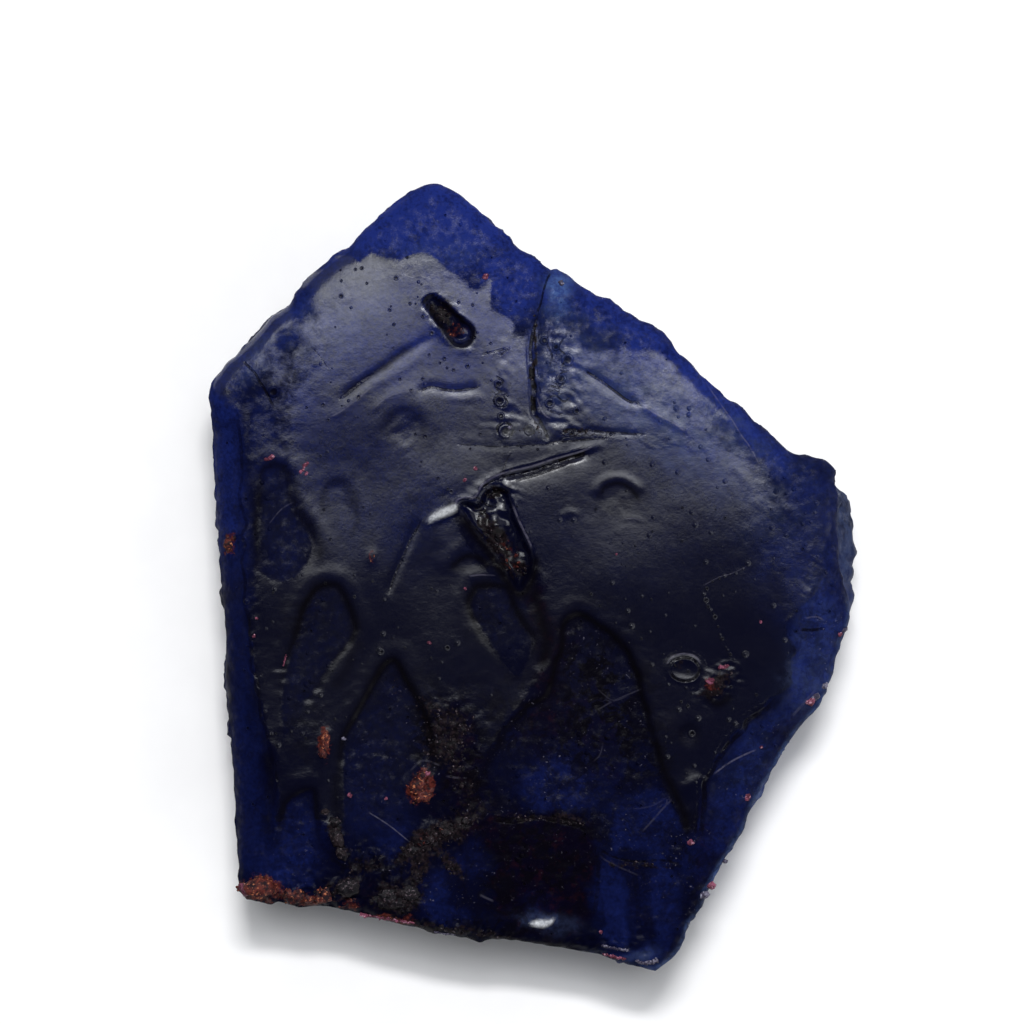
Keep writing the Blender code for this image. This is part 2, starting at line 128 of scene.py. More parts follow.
# East of the upright crack lies a thinner skin.
THIN_SKIN_OUTLINE = pairs(
    0.9, 20.2, 3.5, 19.4, 4.2, 18.1, 6, 17.7, 8.5, 18, 10.5, 17.4, 11.8, 16.4, 13.2, 15.1, 14.9, 13.2, 16.3,
    11.2, 17.6, 9.4, 19.5, 7.6, 18.6, 5.4, 15, 9, 10, 9.2, 6.5, 10.2, 2.5, 10.6, 0.6, 11.8, 0.2, 14, 0.2,
    17, 0.5, 19
)
THIN_SKIN_COVER = 0.7

# Each window: its depth, the height of its raised lip, how bare it is, how dark the painted shade band along
# its edge is, the two y between which it dies out to the south, and its outline.
WINDOWS = point_rows(
    6,
    # left tongue
    (0.1, 0.03, 0.95, 0.75, -1, 4, -21.5, 8.2, -20.6, 8.9, -19.9, 9, -19.2, 8.7, -18.7, 7.6, -18.5, 6,
     -18.2, 5, -17.4, 4, -16.8, 2.4, -17.2, 0.8, -18.5, -0.5, -20.5, -0.8, -21.7, 0.5, -21.8, 3, -21.7, 6),
    # arched tongue
    (0.1, 0.03, 0.9, 0.9, -11, -3, -18.8, -4.5, -18.3, -2.8, -17.5, -1.1, -16.8, -0.6, -16, -0.45, -15.2,
     -0.6, -14.7, -1.2, -14.3, -2, -13.6, -3.8, -13.8, -4.8, -14.2, -5.6, -15.4, -7, -16.4, -8.6, -17.5,
     -10.2, -18.6, -12.3, -19.8, -12.8, -20.1, -10.5, -19.6, -7),
    # long tongue
    (0.22, 0.02, 0.9, 0.95, -20, -10.5, -15.2, -18.5, -15.3, -15.5, -15, -12.4, -13.6, -10, -12.4, -7.6,
     -11.8, -6.8, -11, -6.3, -10.4, -6.5, -9.6, -8, -8.7, -9.8, -8, -11.5, -7.5, -14, -8.2, -17, -8.4, -20,
     -10, -23, -13, -22.6, -15, -20.8),
    # corner tongue
    (0.18, 0.015, 0.95, 0.6, -23, -18, -20.4, -24.5, -20, -20.5, -19.8, -18.2, -19.2, -17.2, -18.5, -16.7,
     -17.5, -16.4, -16.8, -16.9, -16.6, -19, -16.5, -22, -16.8, -24.5),
    # middle tongue
    (0.06, 0.025, 0.95, 0.9, -8, -3, -5.3, -2.2, -4.8, -1, -4.5, -0.6, -3.5, -0.5, -2.5, -0.6, -1.8, -0.9,
     -1, -2.8, -0.4, -3.8, 0.4, -5, -0.1, -7.2, -1.4, -8.4, -2.4, -7.4, -3.6, -5.6, -4.8, -3.8),
    # thumb window
    (0.01, 0, 0.12, 0.1, 4.2, 6, 4.9, 5.6, 5.1, 6.3, 5.5, 6.9, 6.2, 7.3, 6.9, 7.3, 7.6, 6.9, 8.1, 6.3, 8.1,
     5.4, 7.3, 4.6, 5.9, 4.7),
    # broad window
    (0.24, 0.015, 0.95, 0.95, -22, -8, -4.5, -20, -3, -13, -0.6, -10, 0.8, -9.2, 1.2, -7.8, 1.6, -6.6, 2,
     -5.6, 2, -4, 2.5, -3.1, 3.4, -2.75, 4.3, -3, 5.2, -3.5, 6.2, -4.2, 7.6, -5.8, 8.4, -7.8, 8.9, -9.8,
     9.3, -11.4, 9.9, -13.5, 10.2, -15, 11.2, -17.2, 11.8, -18.6, 11.9, -21.5, 6, -22.5),
    # faint left arch
    (0.015, 0.014, 0.06, 0.3, 3.4, 6.4, -16.4, 6.6, -16, 7.2, -15, 7.5, -14.4, 7, -14, 6, -13.8, 4.6, -15.2,
     3.6, -16.2, 4.8),
    # pitted arch
    (0.02, 0.012, 0.15, 0.3, 9.4, 12, -11.8, 11.6, -11, 12.8, -10, 13.2, -9, 12.7, -8.4, 11.8, -8.8, 10,
     -10, 9.2, -11.4, 10.2),
    # round window
    (0.06, 0.02, 0.8, 0.15, 16.8, 18.6, -20.5, 18.3, -20, 19.1, -19.2, 19.35, -18.2, 19.1, -17.8, 18.3,
     -18.3, 17.4, -19.4, 17.1, -20.3, 17.5),
    # small arch
    (0.02, 0.025, 0.1, 0.9, 0, 1, -6.4, 0.6, -6, 1.4, -5, 1.85, -4, 1.5, -3.4, 0.8, -4.4, 0.3, -5.6, 0.2),
    # right arch
    (0.04, 0.005, 0.1, 0.4, -13.8, -12.2, 11.3, -12.2, 11.9, -11.5, 12.6, -11.6, 13, -12.4, 12.7, -13.8,
     11.7, -13.8),
)
WINDOW_EDGE = (-0.12, 0.62)
WINDOW_MARGIN = 1.5
WINDOW_WOBBLE = 0.12
WINDOW_WOBBLE_LENGTH = 1.3
LIP_OFFSET = 0.55
LIP_WIDTH = 0.6

# Beyond these lines, which bound the skin on the left and right, the bare crystal steps and slopes away.
STRIP_EDGE = pairs(
    -20, -22, -20.3, -19, -20, -16, -20.7, -13, -21.4, -9.5, -22.1, -7.2, -22.2, -3.5, -22.6, -2.2, -22.5,
    1.2, -22.8, 3.2, -22.4, 4, -23, 6.2, -22.8, 9, -23.1, 12, -23.8, 13.8
)
FLANK_EDGE = pairs(
    23.6, 1.8, 21.6, -1.8, 20.5, -3, 20.7, -5.5, 20.1, -6.6, 20.2, -8.5, 19.3, -9.3, 17.3, -10.8, 16.6,
    -11.5, 15.5, -12.8, 14.5, -14.3, 13.6, -16, 13.4, -18, 12.9, -21
)

# ----------------------------------------
# Long ridges and grooves: height, with a minus for a groove, half width, and the line's points.

CREASES = point_rows(
    2,
    # the upright crack and the hairlines around its foot
    (-0.17, 0.2, 1.5, 23.9, 1.1, 23.2, 0.8, 22.2, 0.3, 20.5, 0.1, 19.5, -0.1, 18.5, -0.2, 17.5, -0.1, 15.5,
     0, 13.5, 0.1, 12.6, 0.6, 12, 1.2, 10.4),
    (-0.035, 0.21, 2.4, 10.9, 4, 11.35, 6, 11.2, 8.9, 11.05), (-0.02, 0.18, 1, 10.3, 3, 10.5, 6, 10.8),
    (-0.013, 0.18, -6.5, 10.4, -3, 10.1, 0, 10.2, 2, 10.3), (-0.02, 0.18, -2.7, 7.2, -2.3, 8.3, -1.9, 9.3),
    # the bright ledge, and the open crack under its east end
    (-0.288, 0.2, -2.6, 7.75, -1, 8.05, 0.5, 8.45, 2, 8.95, 3.5, 9.4, 4.3, 9.65),
    (-0.025, 0.25, -1.5, 7.4, 0.3, 7.9, 1.7, 8.35, 2.6, 8.7),
    # the valley and ridges north-west of the middle
    (-0.036, 0.36, -15.4, 13.6, -13.5, 15.1, -12.5, 15.8, -11.5, 16.4, -10.5, 17.2, -9, 18, -7.5, 18.9),
    (0.012, 0.3, -16.2, 12, -14.8, 13, -13.5, 14, -12.5, 14.9, -11, 15.6, -9.5, 16.6, -8.3, 17.6),
    (0.015, 0.3, -12.7, 12.8, -11.5, 13.9, -10.2, 14.4, -8.8, 14.5),
    (-0.04, 0.34, -9.2, 14.3, -8, 14.75, -6.5, 14.5, -5, 14.6, -4, 14.95),
    (0.013, 0.26, -6.9, 14.1, -5.5, 13.85, -4.2, 14.05, -3.8, 13.5),
    (-0.05, 0.23, -22.9, 17, -22.3, 16.4, -21.8, 15.9, -21.4, 15.2, -21, 14.6, -20.3, 13.2),
    (-0.013, 0.18, -17.3, 17.9, -16.5, 16.9, -15.9, 16),
    # the groove and the bright lines on the upper right
    (-0.055, 0.34, 3.8, 16.25, 4.6, 15.7, 5.4, 15.2, 6.2, 14.6, 7, 14, 7.6, 13.6, 8.5, 13.15),
    (0.035, 0.34, 8.5, 13.4, 9.3, 12.8, 10.2, 12.3, 11, 11.9, 12, 11.1),
    (0.02, 0.4, 13.6, 15, 14.3, 14, 15, 13, 15.7, 12, 16.3, 11, 16.9, 10.2, 17.9, 8.3),
    (0.013, 0.34, 15.4, 8.8, 16.2, 8, 17, 7.2),
    # the channel below the socket, and the step that leaves the bright facet
    (-0.06, 0.5, 0, 0.4, 0.3, -2, 0.6, -3.4, 1, -5, 0.9, -6.3, 0.2, -7.5),
    (-0.04, 0.3, -8.9, 4.6, -9.5, 3, -10.1, 1.6, -10.8, 0, -11.4, -1.7),
    (0.005, 0.4, -8.5, 4.5, -9.1, 3, -9.7, 1.6, -10.4, 0, -11, -1.7),
    (0.006, 0.3, -6.5, -0.6, -5.6, -2.3, -5, -3.5, -4.4, -4.5, -3.4, -5.9, -2, -7.4),
    (0.006, 0.25, -5.2, 0, -4.2, 0.1, -2.8, 0.05),
    # ribs inside the left tongue and below it
    (0.04, 0.3, -18.6, 5.9, -19.7, 5.2, -20.8, 3.9), (0.03, 0.25, -19.1, 6.9, -19.8, 5.6),
    (0.035, 0.3, -16.9, -6.4, -16, -5.9, -15.4, -6.3), (0.02, 0.46, -18.2, -8, -18.9, -10, -19.6, -12),
    (0.015, 0.5, -22, -4, -21.3, -7, -20.8, -10.5, -20, -14, -18.6, -15.8, -17.4, -15.6),
    (0.015, 0.4, -16.4, -14.5, -16.1, -17, -16.2, -19),
    # scratches and low ribs on the lower right
    (0.03, 0.4, 11.2, -16.8, 12.4, -16.1, 13.4, -15.7), (0.012, 0.18, 5, -8.9, 6.2, -9.6, 8.5, -8.7),
    (0.01, 0.21, 8.9, -8.6, 7, -9.6, 5.2, -10.8, 3.8, -11.4),
    (0.015, 0.16, -12.9, -18.4, -11.2, -19.5, -9.5, -20.8),
    (0.018, 0.23, 14.1, -15.5, 15.2, -14.7, 16.3, -14.1, 17.6, -13.5),
    (0.02, 0.28, 11.2, -17.2, 10.2, -18.1, 9.4, -19, 8.4, -20.1),
    (0.015, 0.2, 5.1, -21.7, 5.7, -22.2, 6.9, -22.8, 8.4, -23.4),
    (0.02, 0.16, -4.3, -24.9, -3.9, -25.05, -3, -25.45), (0.015, 0.25, 22.3, -8.8, 21.2, -10, 20.2, -11.1),
    (-0.05, 0.34, 22.8, -4, 21.8, -4.25, 20.8, -4.2), (0.035, 0.34, 22.6, -3.4, 21.8, -3.6, 20.9, -3.5),
    (0.01, 0.18, 6.9, 4.4, 7.8, 4.5, 8.7, 4.3),
    (0.04, 0.34, 4.7, 6.1, 5.2, 7.1, 6.1, 7.65, 7, 7.65, 7.95, 7.15, 8.5, 6.3),
    (0.008, 0.18, 6.2, 3.2, 7, 3.7, 8, 3.9), (0.025, 0.21, 2.2, 4.6, 2.9, 5.05, 3.5, 4.7),
)

BUBBLE_CHAIN = pairs(
    16.9, 0.9, 15.5, 0.2, 14.5, -0.1, 13.4, -1.2, 13.7, -2.3, 14.2, -3.2, 14.7, -4.5, 15.2, -5.7, 15.7, -6.4
)

# Thin dark cracks, and thin bright lines, partly scratches and partly painted highlights on lit crests:
# half width, strength, and the line's points.
CRACK_LINES = point_rows(
    2,
    (0.08, 0.8, 1.5, 23.9, 1.1, 23.2, 0.8, 22.2, 0.6, 21.3, 0.3, 20.5, 0.1, 19.5),
    (0.13, 0.9, 0.35, 20.6, 0.1, 19.5, -0.1, 18.5, -0.2, 17.5, -0.1, 16.5),
    (0.22, 1, -0.1, 16.7, -0.1, 15.5, 0.1, 14.7, 0, 13.5, 0.1, 12.6),
    (0.12, 0.9, 0.1, 12.7, 0.6, 12, 1, 11.2, 1.2, 10.6),
    (0.09, 0.7, 2.2, 10.8, 4, 11.35, 6, 11.2, 8.9, 11.05), (0.08, 0.7, 1, 10.35, 3, 10.55, 6, 10.8),
    (0.05, 0.6, -6, 10.3, -3, 10.1, 0, 10.2, 2, 10.3),
    (0.06, 0.6, -2.6, 7.4, -2.3, 8.3, -2, 9.2, -1.7, 9.5),
    (0.09, 0.9, -4.1, 6.6, -3.9, 6.95, -3.2, 7.4, -2.3, 7.75, -1, 8.05, 0.5, 8.45, 1.8, 8.85),
    (0.19, 1, 1.4, 8.75, 2, 8.95, 3.5, 9.4, 4.3, 9.65),
    (0.08, 0.7, -1.5, 7.4, 0.3, 7.9, 1.7, 8.4, 2.6, 8.7),
    (0.1, 0.8, -22.9, 17, -22.3, 16.4, -21.8, 15.9, -21.4, 15.2, -21, 14.6, -20.3, 13.2),
    (0.05, 0.5, -17.2, 17.8, -16.5, 16.9, -16, 16.2),
    (0.1, 0.85, 3.9, 16.2, 4.6, 15.7, 5.4, 15.2, 6.2, 14.6, 7, 14, 7.6, 13.6, 8.1, 13.6, 8.4, 13.2),
    (0.07, 0.6, -8.6, 4.5, -9.2, 3.4, -9.5, 3, -10.1, 1.6, -10.8, 0, -11.3, -1.5),
    (0.1, 0.7, -9, 14.4, -8, 14.75, -6.5, 14.5, -5, 14.6, -4, 14.9),
    (0.09, 0.5, -4, 17.3, -2.8, 17.6, -1.8, 17.9),
    (0.12, 0.6, -15.2, 13.8, -14.6, 14.2, -13.5, 15.1, -12.5, 15.8),
    (0.12, 0.8, 20.9, -4.2, 21.8, -4.25, 22.9, -4.1),
    (0.08, 0.8, -5.9, 5.9, -5, 6.05, -4.3, 6.1, -3.7, 5.6, -2.8, 5.35),
    (0.1, 0.8, -5.9, 5.5, -5.3, 4.8, -4.8, 4, -4, 3.2, -3.2, 2.3, -2.6, 1.2, -2, 0.2, -1.5, -0.8),
    (0.08, 0.8, 1.2, 14.9, 2.3, 14.6), (0.08, 0.8, 1.3, 12.9, 2.3, 12.6),
    (0.08, 0.7, -2.6, 17.2, -1.8, 17.8), (0.14, 1, 2.3, 11.3, 2.8, 11.4, 3.5, 11.35),
    (0.07, 0.6, 1.3, 19.4, 1.1, 18.2, 1.5, 17.2, 1.1, 16),
    (0.07, 0.7, 2.4, 18.6, 2, 17.8, 2.6, 17.2, 2.2, 16.3),
    (0.07, 0.7, 2.9, 16, 2.3, 15.9, 1.9, 15.4, 2.2, 15, 2.6, 15.3),
    (0.07, 0.7, 1.2, 13.9, 1.8, 14.1, 2.4, 13.6, 2.9, 14),
    (0.08, 0.7, -2.9, 15.6, -2.3, 15.2, -2.9, 14.7, -2.2, 14.3),
    (0.08, 0.7, -2.6, 13.2, -3.1, 13.6, -2.7, 14.1, -2.1, 13.8, -2.1, 13.3, -2.6, 13.2),
    (0.09, 0.8, -2.7, 11, -2.8, 11.6, -2.2, 12, -1.6, 11.6, -1.7, 11, -2.3, 10.7),
    (0.08, 0.7, -0.7, 11.2, -0.3, 11.8, 0.1, 11.3, -0.3, 10.95),
    (0.12, 0.5, -23.8, 13.8, -23.3, 13, -23.1, 12, -22.9, 10.5, -22.8, 9, -22.8, 7.5, -23, 6.2, -22.7, 5,
     -22.4, 4, -22.8, 3.2, -22.5, 2.5, -22.8, 1.2, -22.5, -0.5, -22.6, -2.2, -22.2, -3.5, -22.2, -4.8, -22,
     -6, -22.1, -7.2, -21.6, -8, -21.4, -9.5, -21.3, -11, -20.9, -12, -20.5, -14, -20, -16, -20.3, -17.5,
     -20.3, -19),
    (0.2, 0.7, 12.9, -21, 13.2, -19.5, 13.4, -17.5, 13.4, -16.2, 14, -15.2, 14.6, -14.2, 15.5, -12.9, 16.5,
     -12, 16.8, -11.3, 18.4, -10.3, 19.3, -9.3),
    (0.11, 0.8, 10.6, -7.2, 11, -6.6, 11.8, -6.35, 12.6, -6.6, 13, -7.3, 12.6, -8, 11.8, -8.2, 11, -7.9,
     10.6, -7.2),
    (0.09, 0.7, 5, -21.2, 6.2, -21.9, 8, -22.3, 10, -22.2, 11.6, -22.5),
    (0.24, 0.8, -3.4, -18.9, -1.6, -19.1, 0.4, -18.8, 2, -19.1, 3.4, -19.4, 4.6, -20),
    (0.16, 0.5, 4.9, -20.8, 5.1, -23.5, 4.8, -26.6), (0.2, 0.35, 7.9, -23, 8.2, -25.6, 8.3, -28.4),
)
# The first line is a painted highlight on the ledge's crest and the second one on the socket's east rim;
# others lie on ridges.
SCRATCH_AND_HIGHLIGHT_LINES = point_rows(
    2,
    (0.11, 0.9, -8, 4.75, -6.9, 5.2, -6, 5.65, -6, 5.9, -5.4, 6.15, -4.6, 6.15, -4.25, 6.6, -4, 7.1, -3.4,
     7.55, -2.5, 7.98, -1.5, 8.25, 0, 8.6, 1.5, 9.1, 3, 9.5, 4.2, 9.9, 5, 10.3),
    (0.12, 0.9, -1.6, 5.6, -1.25, 4.7, -0.85, 3.8, -0.35, 2.8, -0.05, 2),
    (0.07, 0.7, -12.9, -18.4, -11.2, -19.5, -9.6, -20.8),
    (0.1, 0.75, 14.1, -15.5, 15.2, -14.7, 16.3, -14.1, 17.5, -13.6),
    (0.09, 0.24, 5, -10.5, 6.2, -9.8, 8.5, -8.8), (0.08, 0.16, 5, -8.8, 6.2, -9.7, 7.4, -9.4),
    (0.11, 0.25, 10.9, -17.4, 10.2, -18.1, 9.4, -19, 8.5, -20),
    (0.09, 0.14, 10.6, -17.2, 9.4, -17.9, 8, -18.2), (0.09, 0.18, 5.5, -13, 5.2, -14, 4.7, -14.5),
    (0.1, 0.18, 5.2, -21.8, 5.7, -22.2, 6.9, -22.8, 8.3, -23.4), (0.13, 0.35, -4.2, -24.9, -3.1, -25.4),
    (0.09, 0.7, 8.6, 13.35, 9.3, 12.85, 10.2, 12.35, 11, 11.95, 11.9, 11.25),
    (0.07, 0.4, 3.8, 15.95, 4.6, 15.45, 5.4, 14.95, 6.2, 14.35, 7, 13.75, 7.7, 13.3),
    (0.08, 0.55, 13.7, 14.9, 14.3, 14, 15, 13, 15.7, 12, 16.3, 11, 16.9, 10.2, 17.4, 9.3, 17.8, 8.4),
    (0.07, 0.6, -6.8, 14.2, -5.5, 13.9, -4.2, 14.1, -3.9, 13.6),
    (0.09, 0.4, -15.9, 12.4, -14.8, 13, -13.5, 14, -12.5, 14.9),
    (0.08, 0.4, -12.5, 13, -11.5, 13.9, -10.2, 14.4, -9, 14.5), (0.09, 0.6, -5, 0, -4, 0.1, -3, 0.05),
    (0.128, 0.33, -6.8, -15.6, -5.6, -15.8),
    (0.1, 0.6, 10.4, -6.9, 10.9, -6.3, 11.8, -6.05, 12.7, -6.3, 13.1, -6.9),
    (0.16, 0.275, 22.2, -8.9, 21.2, -10, 20.3, -11), (0.09, 0.8, 0.3, 14, 0.5, 13.4, 0.9, 12.6, 1.4, 12.3),
    (0.07, 0.35, -20.7, 4, -19.7, 5.2, -18.7, 5.8), (0.16, 0.25, 5.3, -29, 6.4, -29.15, 7.6, -29.3),
    (0.06, 0.35, 16.8, 0.8, 15.5, 0.2, 14.5, -0.1, 13.2, -0.8), (0.07, 0.4, 6.9, 4.4, 7.8, 4.5, 8.6, 4.3),
    (0.112, 0.275, -9.6, -15.2, -8.6, -14.4, -7.2, -14.8), (0.1, 0.5, 21.3, -3.3, 22.2, -3.2, 22.8, -3.5),
)
# Soft dark shadows that lie along broader lines, in the same form.
SHADE_LINES = point_rows(
    2,
    (0.36, 1, -3.2, 1.9, -2.4, 0.4, -1.6, -1, -0.9, -1.4, -0.2, -0.6, 0.2, 0.8, 0.1, 2.2),
    (0.18, 0.85, 5, 5.8, 5.5, 6.8, 6.2, 7.2, 6.9, 7.2, 7.6, 6.85, 8.1, 6.2, 8.4, 5.5),
    (0.24, 0.45, -16.4, 4.4, -16.4, 6.4, -15.9, 7.3, -15, 7.5, -14.3, 7, -13.9, 5.8, -13.8, 4, -14.6, 2.4),
    (0.35, 0.8, 13.3, -8.9, 14.4, -10, 15.6, -9.2),
    (0.38, 0.9, 9.4, -11.8, 10, -14.6, 11.2, -17.2, 11.9, -19, 12.1, -21.2),
    (0.2, 0.3, -9.9, 6.5, -8.6, 4.8), (0.5, 0.8, 0, -0.5, 0.5, -3, 1, -5, 0.8, -6.5, 0.3, -7.4),
    (0.35, 0.6, -18.9, 8.2, -18.6, 7, -18.4, 6, -18, 5, -17.4, 4.2, -16.9, 3.2, -16.6, 2.2, -16.9, 0.8),
    (0.4, 0.5, -1.4, 7.5, 0.4, 8, 2, 8.5, 3.6, 9),
    (0.3, 0.8, -15.2, 13.8, -13.5, 15.1, -12.5, 15.8, -11.5, 16.4, -10.5, 17.2, -9, 18),
    (0.3, 0.3, 3.9, 16.2, 5.4, 15.2, 7, 14), (0.4, 0.5, 16.9, -11, 18.6, -10.2, 19.6, -9.2, 20.4, -8.3),
    (0.4, 0.4, -13.2, -6, -13.9, -5.4, -14.6, -7.4, -15.8, -9),
    (0.4, 0.4, -20.3, -12, -20.5, -15, -20.3, -18.5), (0.5, 0.5, -8.5, -11, -8, -12.8, -7.8, -15),
    (0.4, 0.5, -15.3, -15, -15.4, -18, -15, -20.5),
    (0.42, 0.95, -6, 5.4, -5.3, 4.3, -4.5, 3.2, -3.7, 2.2, -3, 1.1, -2.4, 0.1, -1.8, -0.9, -1, -1.45, -0.2,
     -0.6, 0.25, 0.4),
)

# The ledge whose north side catches the light: its line, the drop on its right, its crest and their reaches.
LEDGE = pairs(
    -8.4, 4.2, -7.9, 4.45, -6, 5.3, -5.6, 5.9, -4.5, 6.1, -4.1, 6.9, -3.4, 7.5, -2.5, 7.95, -1.5, 8.2, 0,
    8.55, 1.5, 9.05, 3, 9.5, 4.3, 9.95, 5.6, 10.4
)
LEDGE_DROP = 0.12
LEDGE_CREST = 0.055
LEDGE_REACH = 0.9
LEDGE_WIDTH = 0.24

# The hollow left where a grain of matrix broke out, and the pit shaped like a raisin.
SOCKET = pairs(
    -6, 5.75, -5.2, 5.95, -4.3, 5.7, -3.9, 6.6, -3, 7.1, -2, 6.8, -1.7, 6, -1.45, 5.2, -1.2, 4.4, -0.8, 3.6,
    -0.4, 2.6, -0.05, 1.8, 0.05, 0.8, -0.3, -0.2, -1, -1.2, -1.6, -0.8, -2.1, 0.2, -2.7, 1.2, -3.4, 2.3,
    -4.2, 3.2, -5, 4.1, -5.5, 4.9
)
RAISIN_FROM = (-7.95, 21.45)
RAISIN_TO = (-5.65, 18.95)
RAISIN_RADII = (0.52, 0.98)
RAISIN_RIM = 0.005
RAISIN_GRAIN = (-6.35, 19.55, 0.9, 0.55, -42)
RAISIN_GRAIN_HEIGHT = 0.3

# ----------------------------------------
# Ovals: (x, y, half length, half width, turn in degrees, amount). The amount is a height in millimetres for
# lumps, and a strength from 0 to 1 for colours.

LUMPS = (
    (-21.2, -24.4, 1.5, 0.95, 0, 0.3), (-18.6, -25, 0.9, 0.6, 0, 0.2), (-16.5, -24.9, 1.15, 0.85, 10, 0.25),
    (-14.4, -24.3, 0.9, 0.75, 0, 0.2), (-10.8, -25.2, 1.9, 1.3, -10, 0.2),
    (-8.8, -16.6, 1.45, 0.9, 78, 0.3), (-16.3, -13.2, 1.3, 0.45, 80, 0.1),
    (-15.5, -20.4, 1.9, 0.55, -60, 0.12), (-13, -22.8, 1.4, 1.1, 0, 0.12), (14.5, -8.3, 1.2, 0.8, 45, 0.04),
    (-23.6, 2.3, 1.3, 0.9, 70, 0.18), (0.7, -27.1, 1.3, 0.5, 8, 0.24), (3.3, -4.7, 0.7, 0.45, 0, 0.1),
    (-6.4, -20, 2.4, 1.3, 20, 0.1), (-12.6, 1.5, 0.4, 0.6, 0, 0.04), (-7, 4.75, 1.1, 0.4, 22, 0.05),
    (-10, 11.1, 1, 0.8, 30, -0.03), (-22.2, 12, 0.5, 2, 0, 0.03), (-8.6, 13.8, 3.4, 2.4, 0, 0.085),
    (-15, 18.2, 5, 2.8, 20, 0.045), (16, 4, 5, 7, 0, 0.1), (12.4, -16.3, 0.7, 0.9, 0, 0.08),
    (-18, -15.8, 1.1, 0.4, 5, 0.02), (21.9, -4, 1.2, 0.8, 0, 0.06),
)
# The ring-shaped bump: x, y, half length, half width, height.
RING_BUMP = (11.8, -7.3, 1.2, 0.85, 0.05)

# Where the skin is worn, in the same form.
WORN_SPOTS = (
    (-19.5, 16.5, 4.2, 2.6, 45, 0.45), (-20.8, 11, 2, 4, 0, 0.5), (9, 14, 8, 2.6, -36, 0.08),
    (-7.5, 24, 4, 1, 0, 0.3), (-16, 22, 2.6, 1.2, 42, 0.25), (-18.1, 21.3, 0.8, 1.3, -10, 0.9),
    (-10.5, -14, 3, 3, 0, 0.5), (1, 18.5, 2, 3, 0, 0.4), (21.4, 5.2, 3.6, 5, 0, 0.5),
    (20.9, 7.7, 2.6, 1.4, 0, 0.85), (15.6, 11.6, 3, 1, -42, 0.4), (-22.2, 3, 0.8, 6, 0, 0.8),
    (-6.5, -17, 2.6, 4, 0, 0.8), (-18, -12, 2, 5, 0, 0.3), (14.5, -8.3, 1.4, 0.9, 45, 0.9),
    (-6.8, 20.2, 1.9, 0.9, -47, 1), (-22.6, 14.6, 1.3, 1.5, 0, 0.6), (-6.7, -12, 2.4, 2.2, 0, 0.85),
    (-7, 4.85, 1.2, 0.45, 22, 0.5), (-3.9, 1.8, 4.4, 0.62, -55, 0.97), (-0.6, -0.6, 1.3, 1.5, 0, 0.95),
    (0.6, -8.6, 3, 0.6, 52, 0.92), (-2.3, -12.6, 2.4, 0.55, 57, 0.92), (2.35, -5.2, 1.8, 0.5, 84, 0.85),
)

# Curly or gritty ground: (x, y, half length, half width, turn, height, length of its grain).
ROUGH_GROUND = (
    (2.2, 15.6, 1.4, 3.6, 4, 0.045, 0.6), (-2.2, 14.4, 0.7, 3.4, 0, 0.025, 0.75),
    (0.6, 11.7, 3, 0.8, 0, 0.04, 0.6), (6.6, 5.8, 1.1, 1, 0, 0.005, 0.4), (-10, 11, 1.1, 1.4, 0, 0.01, 0.5),
    (-10.8, -8.8, 0.9, 1.3, 0, 0.03, 0.5), (14.5, -8.3, 1.5, 1, 45, 0.07, 0.5),
    (5.5, -11, 3.2, 6.5, 10, 0.02, 0.5), (-18, -25, 6, 1.3, 0, 0.22, 0.6),
    (-10.8, -25, 2, 1.5, -10, 0.22, 0.45), (-8.8, -16.6, 1.5, 1, 78, 0.16, 0.5),
    (-16.3, -13.2, 1.2, 0.4, 80, 0.05, 0.5), (-15.5, -20.4, 2, 0.5, -60, 0.1, 0.45),
    (-12.8, -22.6, 1.8, 1.3, 0, 0.16, 0.45), (-7.2, -20.4, 2.6, 1.7, 20, 0.1, 0.45),
    (-5.6, -16, 1, 3.2, 10, 0.05, 0.45), (-6.8, -11.8, 2.2, 2, -30, 0.06, 0.45),
    (-3, 2.8, 0.7, 2.4, 25, 0.1, 0.6), (-3, 6.4, 1.2, 0.8, 0, 0.16, 0.5),
    (-6.6, 19.9, 0.9, 1.8, 42, 0.1, 0.6), (-23.6, 2.3, 1.2, 0.9, 70, 0.1, 0.4),
    (-1, -22.5, 3.6, 4.5, 0, 0.02, 0.7), (-12.8, -14.6, 1.4, 1.2, 0, 0.05, 0.6),
    (9.4, -28.5, 3.6, 2.4, 0, 0.05, 0.8), (-6.5, -27.6, 5, 0.7, -6, 0.14, 0.5),
    (5.5, -28.8, 3, 0.8, -10, 0.14, 0.5), (-21.9, -3, 0.5, 4, 0, 0.015, 0.5),
    (-20.9, 14.6, 1.3, 1.8, 0, 0.01, 0.6), (-12.4, -12.5, 2.2, 3.6, 0, 0.024, 0.8),
    (-18.2, -8.4, 1.4, 3, 20, 0.022, 0.8), (-16.5, -3.6, 1.6, 2.6, 0, 0.02, 0.7),
    (-18.8, -20.8, 1.8, 3.2, 0, 0.024, 0.7), (-19.4, 3.6, 1.5, 3.6, 0, 0.02, 0.8),
    (12, -22, 2, 5, 0, 0.022, 0.7), (22.4, -3, 1.3, 5, 0, 0.02, 0.6), (2, -16, 3, 2.4, 0, 0.022, 0.7),
    (-12.6, -18.5, 2, 2.6, 0, 0.022, 0.7),
)

